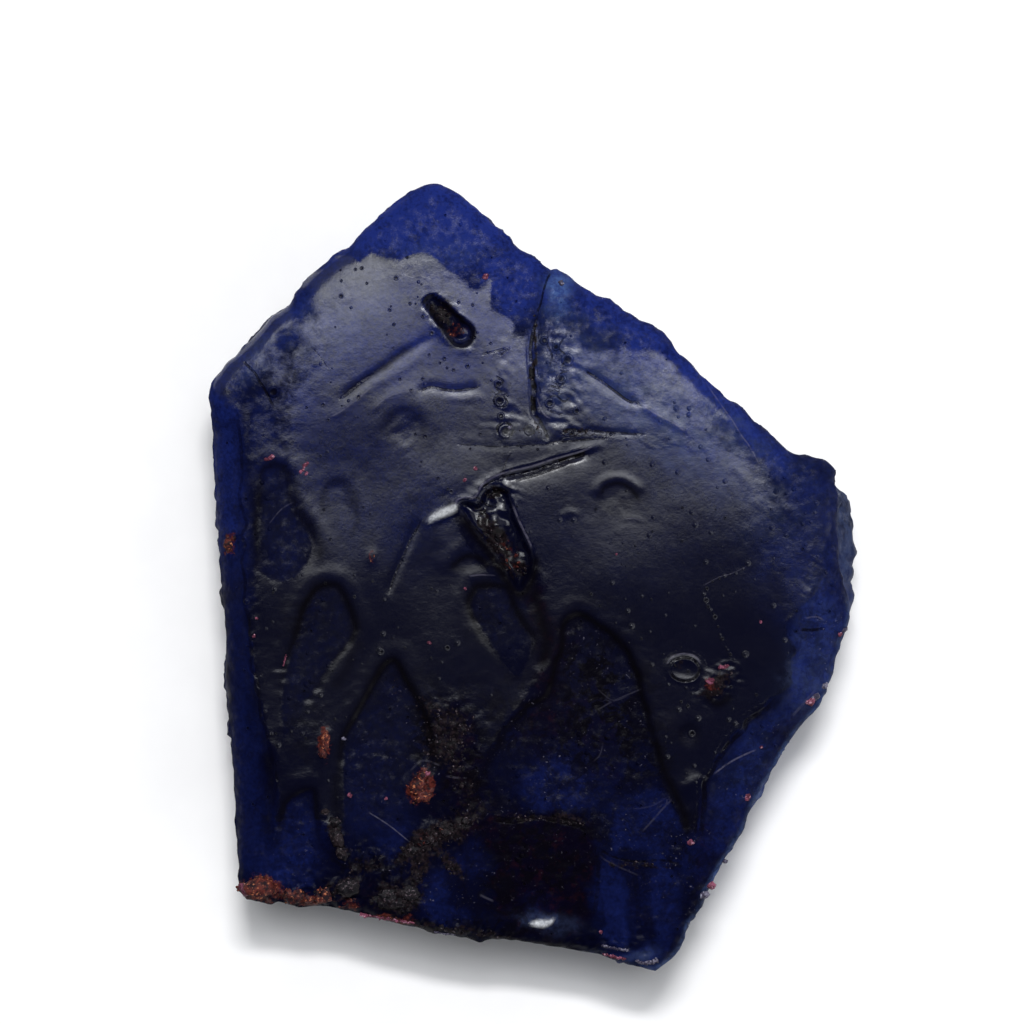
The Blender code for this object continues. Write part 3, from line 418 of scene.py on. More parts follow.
# Single bubbles and grains under the skin, and the open pits.
SMALL_BUMPS = pairs(
    13.7, 9.1, 17.4, 11.1, 11.2, 13.1, 12.2, 12.6, 12.2, 13.1, 23.2, 8, 22.2, 5.7, 20.4, 6.8, 19, 6.6, 21.1,
    4.1, 18.7, 3.8, 19.8, 3.2, 13.9, 3.4, 12.4, 5, 12.7, 4, 9.4, 4.6, 13.5, 1.1, 16.8, 1, 11.3, 8.1, 9.3,
    8.7, 15, 7.4, 13.1, 10.1, 9.1, 3.2, 6.2, -0.5, 7.7, -3.9, 7.4, -2.7, 9.3, -6.9, 11.4, -10.4, 12.9,
    -11.1, 15.3, -11.2, 15.8, -11.5, 17.2, -12.2, 18, -11.7, 10.5, -14.1, 12.6, -14.8, 13.4, -15.8, 18.8,
    -2.3, 22.5, -3.2, 21.2, -4.7, 22.5, -2.1, 23.5, -0.6, 23, 0.3, 19.7, -5, -19, -9.5, -17.7, -8.5, -17.3,
    -8.2, -16.6, -9.3, -17.6, -10.6, -20.4, -12.3, -19.9, -13.2, -18, -12.3, -22.4, -2, -20.2, -1, -12,
    -5.7, -11.7, -4.5, -11.6, -1.8, -16.4, -1.8, -5.9, -5.2, 1.2, 6.9, 2.1, 4.4, 3.2, 4.4, 5.6, 12.3, 5.6,
    8.9, -21.2, 7.3, -20.8, 6.1, -20.6, 3.7, 16.6, -6.1, -10.1, 1.3, -4.4, -13.4, 4.2, -13.8, 5.8, -12.6,
    6.8, -16.4, 3.6, -12.4, 8.2, -14.6, -1.2, -15.6, -0.1, -18.4, 1.7, -18.6, -0.9, -21.8, -1.2, -22.1,
    -0.2, -22.7
)
SMALL_PITS = pairs(
    -5.8, 21.4, -4.7, 21.2, -8.6, 20.3, -7.9, 19, -8.1, 17.3, -6.9, 17, -6.2, 16.1, -5.1, 16.4, -8.6, 15.4,
    -3.3, 18.2, -1.3, 21.5, -4.1, 11.1, -8.4, 10.9, -15, 21.9, -15, 23.1, -10.7, 23.3, -13, 22.9, -9.6,
    21.3, -11.2, 20.8, -13.9, 24, -13.4, 24.1, -9.5, 14.5, -10.4, 15.4, -13.6, 14, -16.4, 13.4, -16, 12.2,
    -12.5, -0.4, -6.4, 6.6
)
# Burst bubbles with a rim: (x, y, radius).
OPEN_RINGS = (
    (2.2, 15.4, 0.42), (2.7, 16.9, 0.5), (-2.6, 13.7, 0.5), (-2.1, 11.3, 0.62), (-0.3, 11.4, 0.42),
    (1.3, 13.5, 0.4), (16.6, -6.1, 0.3), (13.5, -1.9, 0.26), (14.2, -3.2, 0.22), (-2.7, 15, 0.35),
    (-2.5, 12.5, 0.3), (0.9, 18.4, 0.35), (1.8, 17.9, 0.3), (-6.7, -5.6, 0.25), (-11.9, -5.9, 0.3),
    (-20.3, 14.4, 0.45), (3.4, 12.9, 0.3), (12.4, -12.3, 0.3),
)
BUMP_RADIUS = 0.22
BUMP_HEIGHT = 0.11
SCATTERED_BUMPS = 380

# ----------------------------------------
# Colour, as ovals in the same form.

BLUE_SPOTS = (
    # the pointed end and the upper right edge
    (-8, 27.5, 7.5, 3.4, 0, 0.95), (-1.6, 22.6, 2.4, 2.6, 0, 0.8), (7.5, 19.2, 7.5, 1.6, -38, 0.7),
    (-14.5, 25.6, 3.5, 1, 40, 0.45), (15, 12.6, 7, 1.3, -42, 0.75), (1.9, 22.2, 0.7, 1.4, 0, 1),
    (-18.3, 21.4, 0.9, 1.2, 0, 0.45), (-19.2, 18.3, 1.2, 0.9, 0, 0.4), (2.8, 15.5, 2.4, 4.5, 0, 0.4),
    # the left strip and the windows
    (-24.1, 11, 0.9, 4.5, 0, 0.3), (-21, 11, 1.4, 3.4, 0, 0.2), (-23.6, 3, 0.9, 6, 0, 0.14),
    (-23.2, -8, 1.1, 7, 0, 0.17), (-22.2, -18, 1.3, 6, 0, 0.172), (-19.3, 3.6, 1.8, 4.2, 0, 0.16),
    (-16.3, -3.6, 1.9, 2.8, 0, 0.1), (-18.2, -8.6, 1.6, 3.2, 20, 0.1), (-11.6, -11.5, 2.4, 3.4, 15, 0.086),
    (-12.6, -17, 2.4, 3.4, 0, 0.112), (-18.4, -20.6, 1.6, 2.8, 0, 0.206),
    (-19.6, -22.8, 1.6, 1.2, 0, 0.224), (-2.6, -3, 1.8, 2.4, 30, 0.08), (6.6, 5.9, 1.2, 1, 0, 0.08),
    # the broad window and the lower right
    (2, -16.4, 2.4, 2, 0, 0.224), (5, -9, 2.6, 3.4, 20, 0.04), (6.4, -16.4, 2.8, 2.6, 0, 0.06),
    (-1.4, -12.5, 2, 2.4, 0, 0.04), (8, -19.4, 1.6, 1.2, 0, 0.172), (6.2, -25.6, 0.9, 3.2, 8, 0.206),
    (10.2, -24.6, 0.8, 3.6, 8, 0.206), (10.6, -20.6, 1.4, 1.6, 0, 0.12), (0.3, -25.7, 0.9, 0.9, 0, 0.172),
    (-7.5, -24.4, 1.2, 1.5, 0, 0.206), (-6, -26.7, 1.4, 1, 0, 0.224), (-4.7, -22.3, 1.2, 1.2, 0, 0.129),
    (-10.6, -20.6, 1.2, 1.4, 0, 0.155),
    # the right flank
    (22.6, 3.5, 2.2, 6, 0, 0.3), (22.6, -3.5, 1.8, 3.6, 0, 0.4), (21.6, -8.4, 1.6, 2.6, -20, 0.45),
    (17.6, -13.6, 3.6, 1.6, 55, 0.24), (14.8, -19.6, 4.2, 1.4, 62, 0.24), (8.3, -25.5, 0.8, 3, 8, 0.1),
    (8.6, -29.8, 1.8, 0.6, -10, 0.5),
)
# Blue that glows through the skin.
GLOW_SPOTS = (
    (-8, 21, 10, 3.5, 12, 0.45), (-18, 17, 5, 4.5, 45, 0.34), (-20, 10, 3, 6, 0, 0.12),
    (9.5, 14.5, 9, 3.2, -36, 0.75), (1, 18, 4, 4, 0, 0.4), (21.8, 4, 3.2, 6, 0, 0.3),
    (-2, 12, 8, 2, 0, 0.06), (8, 5, 9, 5, 0, 0.05), (-13, 7, 8, 5, 0, 0.15), (-8, 16, 4.5, 2.5, 0, 0.3),
)
# Patches with a clear border: softness of the border, strength, and the outline.
BLUE_PATCHES = point_rows(
    2,
    (0.3, 0.26, 5.3, -22.9, 7, -23.4, 7.5, -26, 7.6, -28.5, 6.4, -28.9, 5.5, -28.2, 5.2, -25.5),
    (0.4, 0.22, 9.3, -23.4, 10.8, -23, 11.6, -25, 11.2, -28, 10.2, -29.4, 9.5, -28, 9.2, -25.5),
    (0.5, 0.2, 6.6, -18.2, 9.4, -16.6, 10.9, -18.2, 11.3, -20.6, 8.6, -21.6, 6, -21),
    (0.5, 0.22, -0.6, -15.2, 1.6, -14, 4, -14.8, 4.6, -17, 3.4, -18.5, 0.4, -18.3, -0.9, -17),
)
VIOLET_PATCHES = point_rows(
    2,
    (0.4, 0.78, -4.6, -19.3, -2, -18.9, 2, -18.9, 4.5, -19.9, 5.1, -21.5, 4.8, -24, 4.6, -27, 2.5, -28.4,
     -1, -28.4, -2.6, -27, -2.9, -24, -3.1, -21.6),
)
# The first two are painted white glints: on the facet at the ledge's west end and on the crescent-shaped lip
# near the lower edge.
GLINT_AND_PALE_PATCHES = point_rows(
    2,
    (0.14, 0.46, -8.15, 4.25, -7.85, 4.8, -6.2, 5.55, -5.95, 5.3, -6.2, 5, -7.7, 4.35),
    (0.2, 0.85, -0.15, -27.15, 0.2, -26.98, 0.7, -26.92, 1.2, -26.95, 1.55, -26.85, 1.35, -27.15, 0.9,
     -27.38, 0.3, -27.35),
    (0.5, 0.04, -2.2, 10.9, -1.4, 12.1, 0, 12.3, 0.8, 11.9, 1.4, 11.5, 1.4, 11, 0, 10.8),
)
# Greyish veil on bare crystal. The spots on the upper right are partly painted sheen, and the one near the
# crescent glint at the lower edge is a painted glow around it.
HAZE_AND_SHEEN_SPOTS = (
    (20.5, 6, 4, 4, 0, 0.17), (-21.8, 17.2, 2.4, 1, 45, 0.4), (22.5, -4, 1.6, 4, 0, 0.35),
    (21.4, -8.6, 1.7, 2.8, -20, 0.5), (17, -14.5, 3.4, 1.2, 55, 0.2), (1.9, 22.4, 0.7, 1.3, 0, 0.8),
    (9, 13, 8, 2.4, -34, 0.72), (15.6, 11.4, 2.6, 1, -42, 0.6), (8.8, -29.9, 1.5, 0.5, -10, 0.8),
    (0.9, -27, 2, 0.7, -8, 0.85), (-15, 20.6, 5, 3, 45, 0.3), (3.2, 19.6, 1.4, 1, 0, 0.3),
    (2.2, 15.8, 1.5, 3.4, 0, 0.45), (-7, 25.2, 3, 0.8, 0, 0.25),
)
CYAN_SPOTS = ((1.9, 22.6, 0.8, 1.1, 0, 1.0), (2.1, 20.9, 0.6, 1.0, 0, 0.5), (23.4, -8.8, 0.5, 0.9, -15, 0.5))
# Grey-blue film on the windows' floors; its grey partly stands in for their dull sheen, a painted reflection.
SLATE_AND_SHEEN_SPOTS = (
    (-19.4, 3.8, 2.6, 5, 0, 0.7), (-16.2, -3.8, 2.4, 3.6, 0, 0.9), (-18.2, -9, 2, 3.6, 20, 0.9),
    (-11.6, -10.5, 3.4, 4.2, 10, 0.75), (-12, -16, 3.2, 3, 0, 0.35), (-2.6, -3.2, 2.2, 2.8, 30, 0.8),
    (4, -6.5, 3.2, 3.4, 15, 0.5), (5.5, -12, 4, 4, 0, 0.15), (-1.5, -12, 2.4, 3, 0, 0.2),
    (22.6, 4, 2.4, 5, 0, 0.3), (-23.6, 0, 1.2, 8, 0, 0.2), (6.6, 5.8, 1.6, 1.4, 0, 0.8),
)
# Where dark blotches, and painted white glints, break up the bare crystal.
SOOT_AND_GLINT_SPOTS = (
    (5.5, -9.5, 3.2, 5.5, 15, 0.95), (3, -13, 3, 3, 0, 0.6), (-2, -11, 2.5, 2.5, 0, 0.6),
    (8, -14.5, 2.5, 2.5, 0, 0.6), (-5.5, -15, 2, 5, 10, 0.8), (-12, -22.5, 3.5, 1.5, 0, 0.8),
    (0, -23.5, 4.5, 5, 0, 0.7), (8.4, -25.2, 0.8, 3.2, 8, 0.35), (-8.5, -12, 1.5, 3, 0, 0.8),
    (12, -22, 1.5, 2, 0, 0.6), (13, -26, 1, 3, 0, 0.5), (-18, -12, 1.2, 2.5, 0, 0.4),
    (-11.5, -9, 2, 2, 0, 0.3), (-12.5, -15.5, 2.6, 3, 0, 0.35), (-2.8, -3, 2, 2, 0, 0.4),
    (-18.8, -21, 1.8, 3, 0, 0.45), (10.2, -24.6, 1, 3.6, 8, 0.4), (-7.4, -25, 2.2, 2, 0, 0.4),
    (6, -20, 6, 1.6, 0, 0.5), (-7, -27.3, 6, 0.8, -6, 0.7), (17, -15, 5, 1.4, 55, 0.5),
    (22.5, -4, 1.6, 5, 0, 0.45), (2, -16.4, 2.6, 2, 0, 0.4), (-17.6, -4, 2, 3, 0, 0.35),
    (2.2, 15, 1.6, 4.4, 0, 0.2),
)
VIOLET_SPOTS = (
    (0.8, -5.2, 0.7, 2.2, 10, 0.8), (0.4, -2, 0.6, 1.6, 0, 0.8), (1, -9.5, 1.1, 3.5, -10, 0.7),
    (-5.6, -15.5, 1.6, 4.6, 10, 0.6), (-11, -25.2, 1.8, 1.4, 0, 0.5), (20.4, -11.6, 2.2, 0.6, 50, 0.6),
    (13.6, -21.4, 0.8, 2.6, 0, 0.5), (8.4, -25.2, 0.7, 3, 8, 0.1), (4.6, -10.6, 2.4, 4.4, 15, 0.35),
)
GRIT_SPOTS = (
    (-9.2, -21.4, 1.5, 0.8, 35, 1), (-7.2, -20.2, 1.6, 0.9, 15, 0.9), (-5.2, -19, 1.2, 0.7, 35, 0.8),
    (-8.8, -22.8, 1.6, 0.5, 60, 0.7), (-6.4, -22.6, 1.3, 0.45, -50, 0.8), (-5.6, -16.2, 0.9, 2.6, 12, 0.35),
    (-6.7, -12.3, 1.8, 2.4, -30, 0.7), (-8.4, -10, 1, 0.8, 0, 0.35), (-10.6, -25.2, 1.6, 1.2, -10, 0.9),
    (-13, -22.6, 1.5, 0.8, 20, 0.5), (-14.4, -24.3, 0.9, 0.7, 0, 0.9), (-16.3, -24.8, 1, 0.7, 0, 0.6),
    (-15.3, -20.4, 1.6, 0.4, -65, 0.8), (-3.1, 3, 0.7, 2.6, 27, 0.9), (-2.9, 6.6, 1, 0.5, 0, 0.8),
    (-1, 0.6, 0.6, 1.2, 10, 0.6), (-7.1, 20.6, 0.5, 1.1, 42, 0.8), (0.2, 11.5, 1.6, 0.6, 0, 0.35),
    (0, 17.5, 0.16, 3, -2, 0.9), (3.6, 11.2, 1.4, 0.25, 5, 0.6), (-6.2, -27.7, 4.5, 0.35, -6, 0.7),
    (1, -19, 3.6, 0.3, -6, 0.7), (11.2, -6.9, 0.7, 0.5, 0, 0.4), (-10.6, -8.9, 0.6, 0.9, 0, 0.25),
    (14.5, -8.4, 1.4, 0.6, 45, 0.8), (8, -22.5, 2.6, 0.2, -5, 0.6),
)
# Larger lumps of crust: (x, y, half length, half width, turn, height, tone from 0 to 1, 1 if it is rust).
CRUST_LUMPS = (
    (-21.4, -24.4, 1.05, 0.85, 0, 0.45, 0.6, 1), (-18.7, -25, 0.75, 0.6, 0, 0.35, 0.3, 1),
    (-17.5, -25.2, 0.45, 0.35, 0, 0.25, 0.6, 1), (-16.3, -24.8, 0.9, 0.75, 20, 0.38, 0.2, 1),
    (-14.4, -24.3, 0.85, 0.75, 0, 0.3, 0.3, 0), (-15.5, -19.2, 0.42, 0.36, 0, 0.25, 0.4, 0),
    (-15.3, -20.5, 0.75, 0.5, -70, 0.32, 0.6, 0), (-14.9, -21.7, 0.6, 0.45, -60, 0.28, 0.5, 0),
    (-16.2, -18.4, 0.3, 0.26, 0, 0.2, 0.5, 0), (-10.9, -25.3, 1.2, 0.8, -10, 0.12, 0.12, 0),
    (-9.6, -24.8, 0.7, 0.6, 20, 0.1, 0.1, 0), (-12.2, -25.3, 0.6, 0.5, 0, 0.12, 0.2, 0),
    (-16.25, -12.9, 0.75, 0.36, 80, 0.22, 0.6, 1), (-16.35, -13.8, 0.42, 0.3, 80, 0.2, 0.45, 1),
    (-9, -16.4, 0.7, 0.55, 70, 0.2, 0.35, 1), (-8.6, -17.2, 0.6, 0.5, 10, 0.18, 0.5, 1),
    (-8.5, -15.6, 0.45, 0.34, 20, 0.15, 0.45, 1), (-9.4, -21.4, 0.45, 0.35, 0, 0.2, 0.4, 0),
    (-8, -20.6, 0.4, 0.3, 40, 0.2, 0.6, 0), (-6.8, -20, 0.4, 0.34, 0, 0.2, 0.45, 0),
    (-5.3, -19.1, 0.34, 0.26, 0, 0.16, 0.5, 0), (-23.8, 2.4, 0.5, 0.4, 80, 0.14, 0.4, 1),
    (-23, -24.5, 0.3, 0.26, 0, 0.14, 0.9, 1),
)
RUST_SPOTS = (
    (-8.8, -16.6, 1.35, 0.85, 78, 1), (-16.3, -13.1, 1.2, 0.4, 80, 0.8), (-21.2, -24.5, 1.5, 0.95, 0, 1),
    (-18.6, -25.1, 1, 0.6, 0, 0.85), (-17.2, -25.4, 0.7, 0.35, 0, 0.9), (-23.7, 2.3, 1, 0.6, 75, 0.6),
    (-12.6, 1.5, 0.35, 0.6, 0, 0.6), (-6, 19.3, 0.8, 0.6, 42, 0.45), (13.9, -8.5, 0.4, 0.4, 0, 0.6),
    (-1.9, 1.8, 0.6, 1.6, 25, 0.35), (-11.3, -26.9, 1.8, 0.3, -4, 0.8), (-14.5, -25.6, 1, 0.5, 0, 0.6),
    (-8, -20.4, 1.4, 0.7, 20, 0.25),
)

# ----------------------------------------
# Settings that a user would change.


class StoneShape(bpy.types.PropertyGroup):
    rim_thickness: bpy.props.FloatProperty(
        name="Rim thickness", description="Height of the slab at its rim", default=8.5 * MM, unit="LENGTH")
    dome_rise: bpy.props.FloatProperty(
        name="Dome", description="How far the middle of the top stands over the rim", default=0.8 * MM,
        unit="LENGTH")
    north_tilt: bpy.props.FloatProperty(
        name="Tilt", description="Fall of the top towards the pointed end, for each unit of length",
        default=0.012)
    relief: bpy.props.FloatProperty(
        name="Relief", description="Scales every ledge, window, ridge and lump of the top", default=1.0,
        subtype="FACTOR", min=0.0, soft_max=2.0)
    wall_roughness: bpy.props.FloatProperty(
        name="Wall roughness", description="How far the broken wall wanders in and out", default=0.5 * MM,
        unit="LENGTH")
    underside_scars: bpy.props.FloatProperty(
        name="Underside scars", description="Depth of the hollows in the flat underside", default=0.5 * MM,
        unit="LENGTH")


class StoneFinish(bpy.types.PropertyGroup):
    bright_blue: bpy.props.FloatVectorProperty(
        name="Bright blue", description="Bare crystal where light gets into it", subtype="COLOR", size=3,
        default=(0.0085, 0.0175, 0.125))
    navy: bpy.props.FloatVectorProperty(
        name="Navy", description="Bare crystal in the stone's depth", subtype="COLOR", size=3,
        default=(0.0008, 0.0010, 0.0075))
    violet: bpy.props.FloatVectorProperty(
        name="Violet brown", description="The dark purple-brown zone near the lower edge", subtype="COLOR",
        size=3, default=(0.0013, 0.0004, 0.0038))
    # also the colour of the painted shade: the bands at the windows' edges, the pits and the broad dark lines
    soot: bpy.props.FloatVectorProperty(
        name="Soot", description="The brown-black of cracks, blotches and window edges", subtype="COLOR",
        size=3, default=(0.0012, 0.0008, 0.0014))
    # also the colour of painted sheen on the upper right and of a painted glow around the crescent glint
    haze: bpy.props.FloatVectorProperty(
        name="Haze", description="The greyish veil on parts of the bare crystal", subtype="COLOR", size=3,
        default=(0.025, 0.036, 0.087))
    # its grey partly stands in for the windows' dull sheen: painted reflection
    slate: bpy.props.FloatVectorProperty(
        name="Slate", description="The grey-blue film on the floors of the windows", subtype="COLOR", size=3,
        default=(0.0042, 0.0044, 0.0105))
    fringe: bpy.props.FloatVectorProperty(
        name="Fringe", description="Crushed crystal along the rim of the right side", subtype="COLOR", size=3,
        default=(0.045, 0.085, 0.23))
    grit: bpy.props.FloatVectorProperty(
        name="Grit", description="Olive-brown gritty crust", subtype="COLOR", size=3,
        default=(0.013, 0.008, 0.010))
    rust: bpy.props.FloatVectorProperty(
        name="Rust", description="Rust-red and orange crust", subtype="COLOR", size=3,
        default=(0.09, 0.018, 0.014))
    rose: bpy.props.FloatVectorProperty(
        name="Rose", description="Pink mineral specks", subtype="COLOR", size=3, default=(0.22, 0.065, 0.11))
    # also the colour of the painted highlights on lit crests and of the painted glint dots
    pale: bpy.props.FloatVectorProperty(
        name="Pale crystal", description="Small whitish crystals", subtype="COLOR", size=3,
        default=(0.17, 0.16, 0.22))
    skin_roughness: bpy.props.FloatProperty(
        name="Skin roughness", description="Roughness of the glossy skin", default=0.14, subtype="FACTOR")
    bare_roughness: bpy.props.FloatProperty(
        name="Bare roughness", description="Roughness of bare crystal", default=0.55, subtype="FACTOR")


class StageSettings(bpy.types.PropertyGroup):
    camera_height: bpy.props.FloatProperty(
        name="Camera height", description="Height of the camera over the stone's rim", default=0.33,
        unit="LENGTH")
    view_width: bpy.props.FloatProperty(
        name="View width", description="Width of the view at the stone's rim", default=0.08, unit="LENGTH")
    floor_size: bpy.props.FloatProperty(
        name="Floor size", description="Side of the square floor", default=3.0, unit="LENGTH")
    sky_strength: bpy.props.FloatProperty(
        name="Sky strength", description="Scales the light of the surroundings", default=1.0)
    key_power: bpy.props.FloatProperty(
        name="Key light", description="Power of the light high over the pointed end", default=5.2,
        unit="POWER")
    glint_power: bpy.props.FloatProperty(
        name="Glint light", description="Power of the part of it that shows in the skin", default=0.8,
        unit="POWER")


# ----------------------------------------
# Small tools on whole arrays.

NOISE_TABLE = 64
CURVE_PIECES = 5
LINE_REACH = 0.7
SPOT_FLATNESS = 1.5


def noise(x, y, length, seed):
    """Smooth noise from -1 to 1: random values on a square lattice this long, blended between its corners."""
    table = np.random.default_rng(seed).random((NOISE_TABLE, NOISE_TABLE)) * 2 - 1
    column, row = np.floor(x / length).astype(int), np.floor(y / length).astype(int)
    across, along = x / length - column, y / length - row
    across, along = across * across * (3 - 2 * across), along * along * (3 - 2 * along)
    here, there = column % NOISE_TABLE, (column + 1) % NOISE_TABLE
    low, high = row % NOISE_TABLE, (row + 1) % NOISE_TABLE
    south = table[here, low] * (1 - across) + table[there, low] * across
    north = table[here, high] * (1 - across) + table[there, high] * across
    return south * (1 - along) + north * along


def layered_noise(x, y, length, seed, layers=3):
    """Noise at this length plus ever finer and weaker copies, each half as long and half as strong."""
    return sum(noise(x, y, length / 2**k, seed + k) / 2**k for k in range(layers))


def step(low, high, value):
    """0 below low, 1 above high, and a smooth S between them."""
    t = np.clip((value - low) / (high - low), 0, 1)
    return t * t * (3 - 2 * t)


def curve_through(points, closed=False):
    """A smooth line through the points: a Catmull-Rom cubic of each stretch's ends and their neighbours."""
    points = np.asarray(points, float)
    if closed:
        ends = np.vstack([points[-1], points, points[:2]])
    else:
        ends = np.vstack([2 * points[0] - points[1], points, 2 * points[-1] - points[-2]])
    before, start, end, after = ends[:-3, None], ends[1:-2, None], ends[2:-1, None], ends[3:, None]
    t = np.linspace(0, 1, CURVE_PIECES, endpoint=False)[None, :, None]
    line = 0.5 * (
        2 * start + (end - before) * t + (2 * before - 5 * start + 4 * end - after) * t**2
        + (3 * start - before - 3 * end + after) * t**3
    )
    last = ends[1] if closed else points[-1]
    return np.vstack([line.reshape(-1, 2), last])


def lengths_passed(points):
    """How much of a broken line lies before each of its points."""
    return np.concatenate([[0], np.cumsum(np.hypot(*np.diff(points, axis=0).T))])


def along_line(x, y, line):
    """Each point's distance to the line, positive on its right, and the share of the line passed there."""
    line = np.asarray(line, float)
    lengths, passed = np.hypot(*np.diff(line, axis=0).T), lengths_passed(line)
    nearest = np.full(np.shape(x), np.inf)
    side = np.ones(np.shape(x))
    share = np.zeros(np.shape(x))
    for start, end, length, before in zip(line[:-1], line[1:], lengths, passed):
        way = (end - start) / length
        reached = np.clip((x - start[0]) * way[0] + (y - start[1]) * way[1], 0, length)
        off_x = x - start[0] - reached * way[0]
        off_y = y - start[1] - reached * way[1]
        distance = np.hypot(off_x, off_y)
        closer = distance < nearest
        nearest = np.where(closer, distance, nearest)
        side = np.where(closer, np.sign(off_x * way[1] - off_y * way[0]), side)
        share = np.where(closer, (before + reached) / passed[-1], share)
    return nearest * side, share


def inside_distance(x, y, loop):
    """Each point's distance to a closed line, positive inside it: there a ray crosses it oddly often."""
    distance = np.abs(along_line(x, y, loop)[0])
    inside = np.zeros(np.shape(x), bool)
    for (x0, y0), (x1, y1) in zip(loop[:-1], loop[1:]):
        rise = y1 - y0 if y1 != y0 else 1.0
        inside ^= ((y0 > y) != (y1 > y)) & (x < (x1 - x0) * (y - y0) / rise + x0)
    return np.where(inside, distance, -distance)


def inside_curve(x, y, points):
    """Each point's distance to the smooth closed line through some points, positive inside it."""
    return inside_distance(x, y, curve_through(points, closed=True))


def near(x, y, points, margin):
    """Where a point is within this margin of the box around the points."""
    points = np.asarray(points, float)
    low, high = points.min(0) - margin, points.max(0) + margin
    return (x > low[0]) & (x < high[0]) & (y > low[1]) & (y < high[1])


def near_line(x, y, points, margin):
    """Which places are near the smooth line through some points, and along_line() for those."""
    here = near(x, y, points, margin)
    return here, *along_line(x[here], y[here], curve_through(points))


def wandering(x, y, amount, length, seed):
    """The places moved by noise, so that an edge comes out ragged."""
    return x + amount * layered_noise(x, y, length, seed), y + amount * layered_noise(x, y, length, seed + 5)


def fading_ends(share, part=0.14):
    """1 along a line, falling to 0 over this part of it at each end."""
    return step(0, part, share) * step(0, part, 1 - share)


def oval(x, y, centre_x, centre_y, half_length, half_width, turn):
    """A bell over a turned oval: 1 in the middle, and e to the minus 1 at its half length and half width."""
    angle = math.radians(turn)
    along = (x - centre_x) * math.cos(angle) + (y - centre_y) * math.sin(angle)
    across = (y - centre_y) * math.cos(angle) - (x - centre_x) * math.sin(angle)
    return np.exp(-((along / half_length) ** 2) - (across / half_width) ** 2)


def spots(x, y, ovals):
    """A strength from 0 to 1: the ovals' bells, each times its amount, joined so that they never pass 1."""
    left = np.ones(np.shape(x))
    for *place, amount in ovals:
        left = left * (1 - amount * np.minimum(1.0, SPOT_FLATNESS * oval(x, y, *place)))
    return 1 - left


def patches(x, y, outlines):
    """A strength from 0 to 1: each patch's strength inside its outline, fading over its border."""
    strength = np.zeros(np.shape(x))
    for outline, softness, amount in outlines:
        here = near(x, y, outline, softness)
        inside = inside_curve(x[here], y[here], outline)
        strength[here] = np.maximum(strength[here], amount * step(-softness, softness, inside))
    return strength


def line_masks(x, y, lines):
    """For each point, its distance from the nearest of some lines in half widths, positive on the line's
    right, and how strongly the line shows there, which is 0 well before the nearest line changes."""
    nearest, distance, strength = (np.full(np.shape(x), value) for value in (LINE_REACH, 10.0, 0.0))
    for points, half_width, amount in lines:
        here, off, share = near_line(x, y, points, LINE_REACH)
        closer = np.abs(off) < nearest[here]
        nearest[here] = np.where(closer, np.abs(off), nearest[here])
        distance[here] = np.where(closer, off / half_width, distance[here])
        shown = amount * fading_ends(share, 0.1) * step(0.9 * LINE_REACH, 0.5 * LINE_REACH, np.abs(off))
        strength[here] = np.where(closer, shown, strength[here])
    return distance, strength


# ----------------------------------------
# The top of the stone as a height over each place.

RIM_LOOP = np.array(LOWER_RIM[:-1] + RIGHT_RIM[:-1] + UPPER_RIM[::-1][:-1] + LEFT_RIM[::-1])
DOME_HALF_WIDTH = 27.0
DOME_HALF_LENGTH = 33.0
RIM_ROUNDING = 0.75
RIM_ROUNDING_REACH = 0.36
RIM_SLOPE_DROP = 0.45
RIM_SLOPE_REACH = 3.0
STRIP_STEP = 0.14
STRIP_FALL = 0.42
FLANK_STEP = 0.12
FLANK_FALL = 0.17
SKIN_EDGE_WIDTH = 0.8
SKIN_WANDER = (0.45, 2.2)
SOCKET_DEPTH = 0.9
RAISIN_DEPTH = 0.5


def slab(x, y, shape):
    """A low dome that falls a little to the north, with slow swells and ripples."""
    rise = shape.dome_rise / MM * (1 - (x / DOME_HALF_WIDTH) ** 2 - (y / DOME_HALF_LENGTH) ** 2)
    swells = 0.08 * noise(x, y, 7.0, SEED) + 0.01 * noise(x, y, 2.6, SEED + 1)
    return shape.rim_thickness / MM + rise - shape.north_tilt * y + swells


def rim_fall(x, y):
    """The rounded rim and the slower slope inside it, each an exponential of the distance to the rim."""
    depth = np.clip(inside_distance(x, y, RIM_LOOP), 0, None)
    rounding = RIM_ROUNDING * np.exp(-depth / RIM_ROUNDING_REACH)
    return rounding + RIM_SLOPE_DROP * np.exp(-depth / RIM_SLOPE_REACH)


def bare_fall(x, y, edge, drop, fall):
    """A step down off the skin on the left of a line, then a steady slope away from it."""
    off, share = along_line(x, y, curve_through(edge))
    out = np.clip(-off, 0, None)
    return (drop * step(0, SKIN_EDGE_WIDTH, out) + fall * out) * fading_ends(share, 0.08)


def window_places(x, y, wobble=WINDOW_WOBBLE):
    """For each window: which places are near it, how far each of those is inside its wobbling edge and how
    much of the window is left there, and its depth, lip, bareness and the darkness of its painted shade band."""
    for outline, *numbers, gone_y, full_y in WINDOWS:
        here = near(x, y, outline, WINDOW_MARGIN)
        u, v = x[here], y[here]
        inside = inside_curve(u, v, outline) + wobble * noise(u, v, WINDOW_WOBBLE_LENGTH, SEED + 3)
        yield here, inside, step(gone_y, full_y, v), numbers


def window_relief(x, y):
    """Hollows inside the windows' outlines and a raised lip just outside them, both dying out southwards."""
    height = np.zeros(np.shape(x))
    for here, inside, left, (depth, lip, *_) in window_places(x, y):
        hollow = depth * step(*WINDOW_EDGE, inside)
        crest = lip * np.exp(-(((inside + LIP_OFFSET) / LIP_WIDTH) ** 2))
        height[here] += (crest - hollow) * left
    return height


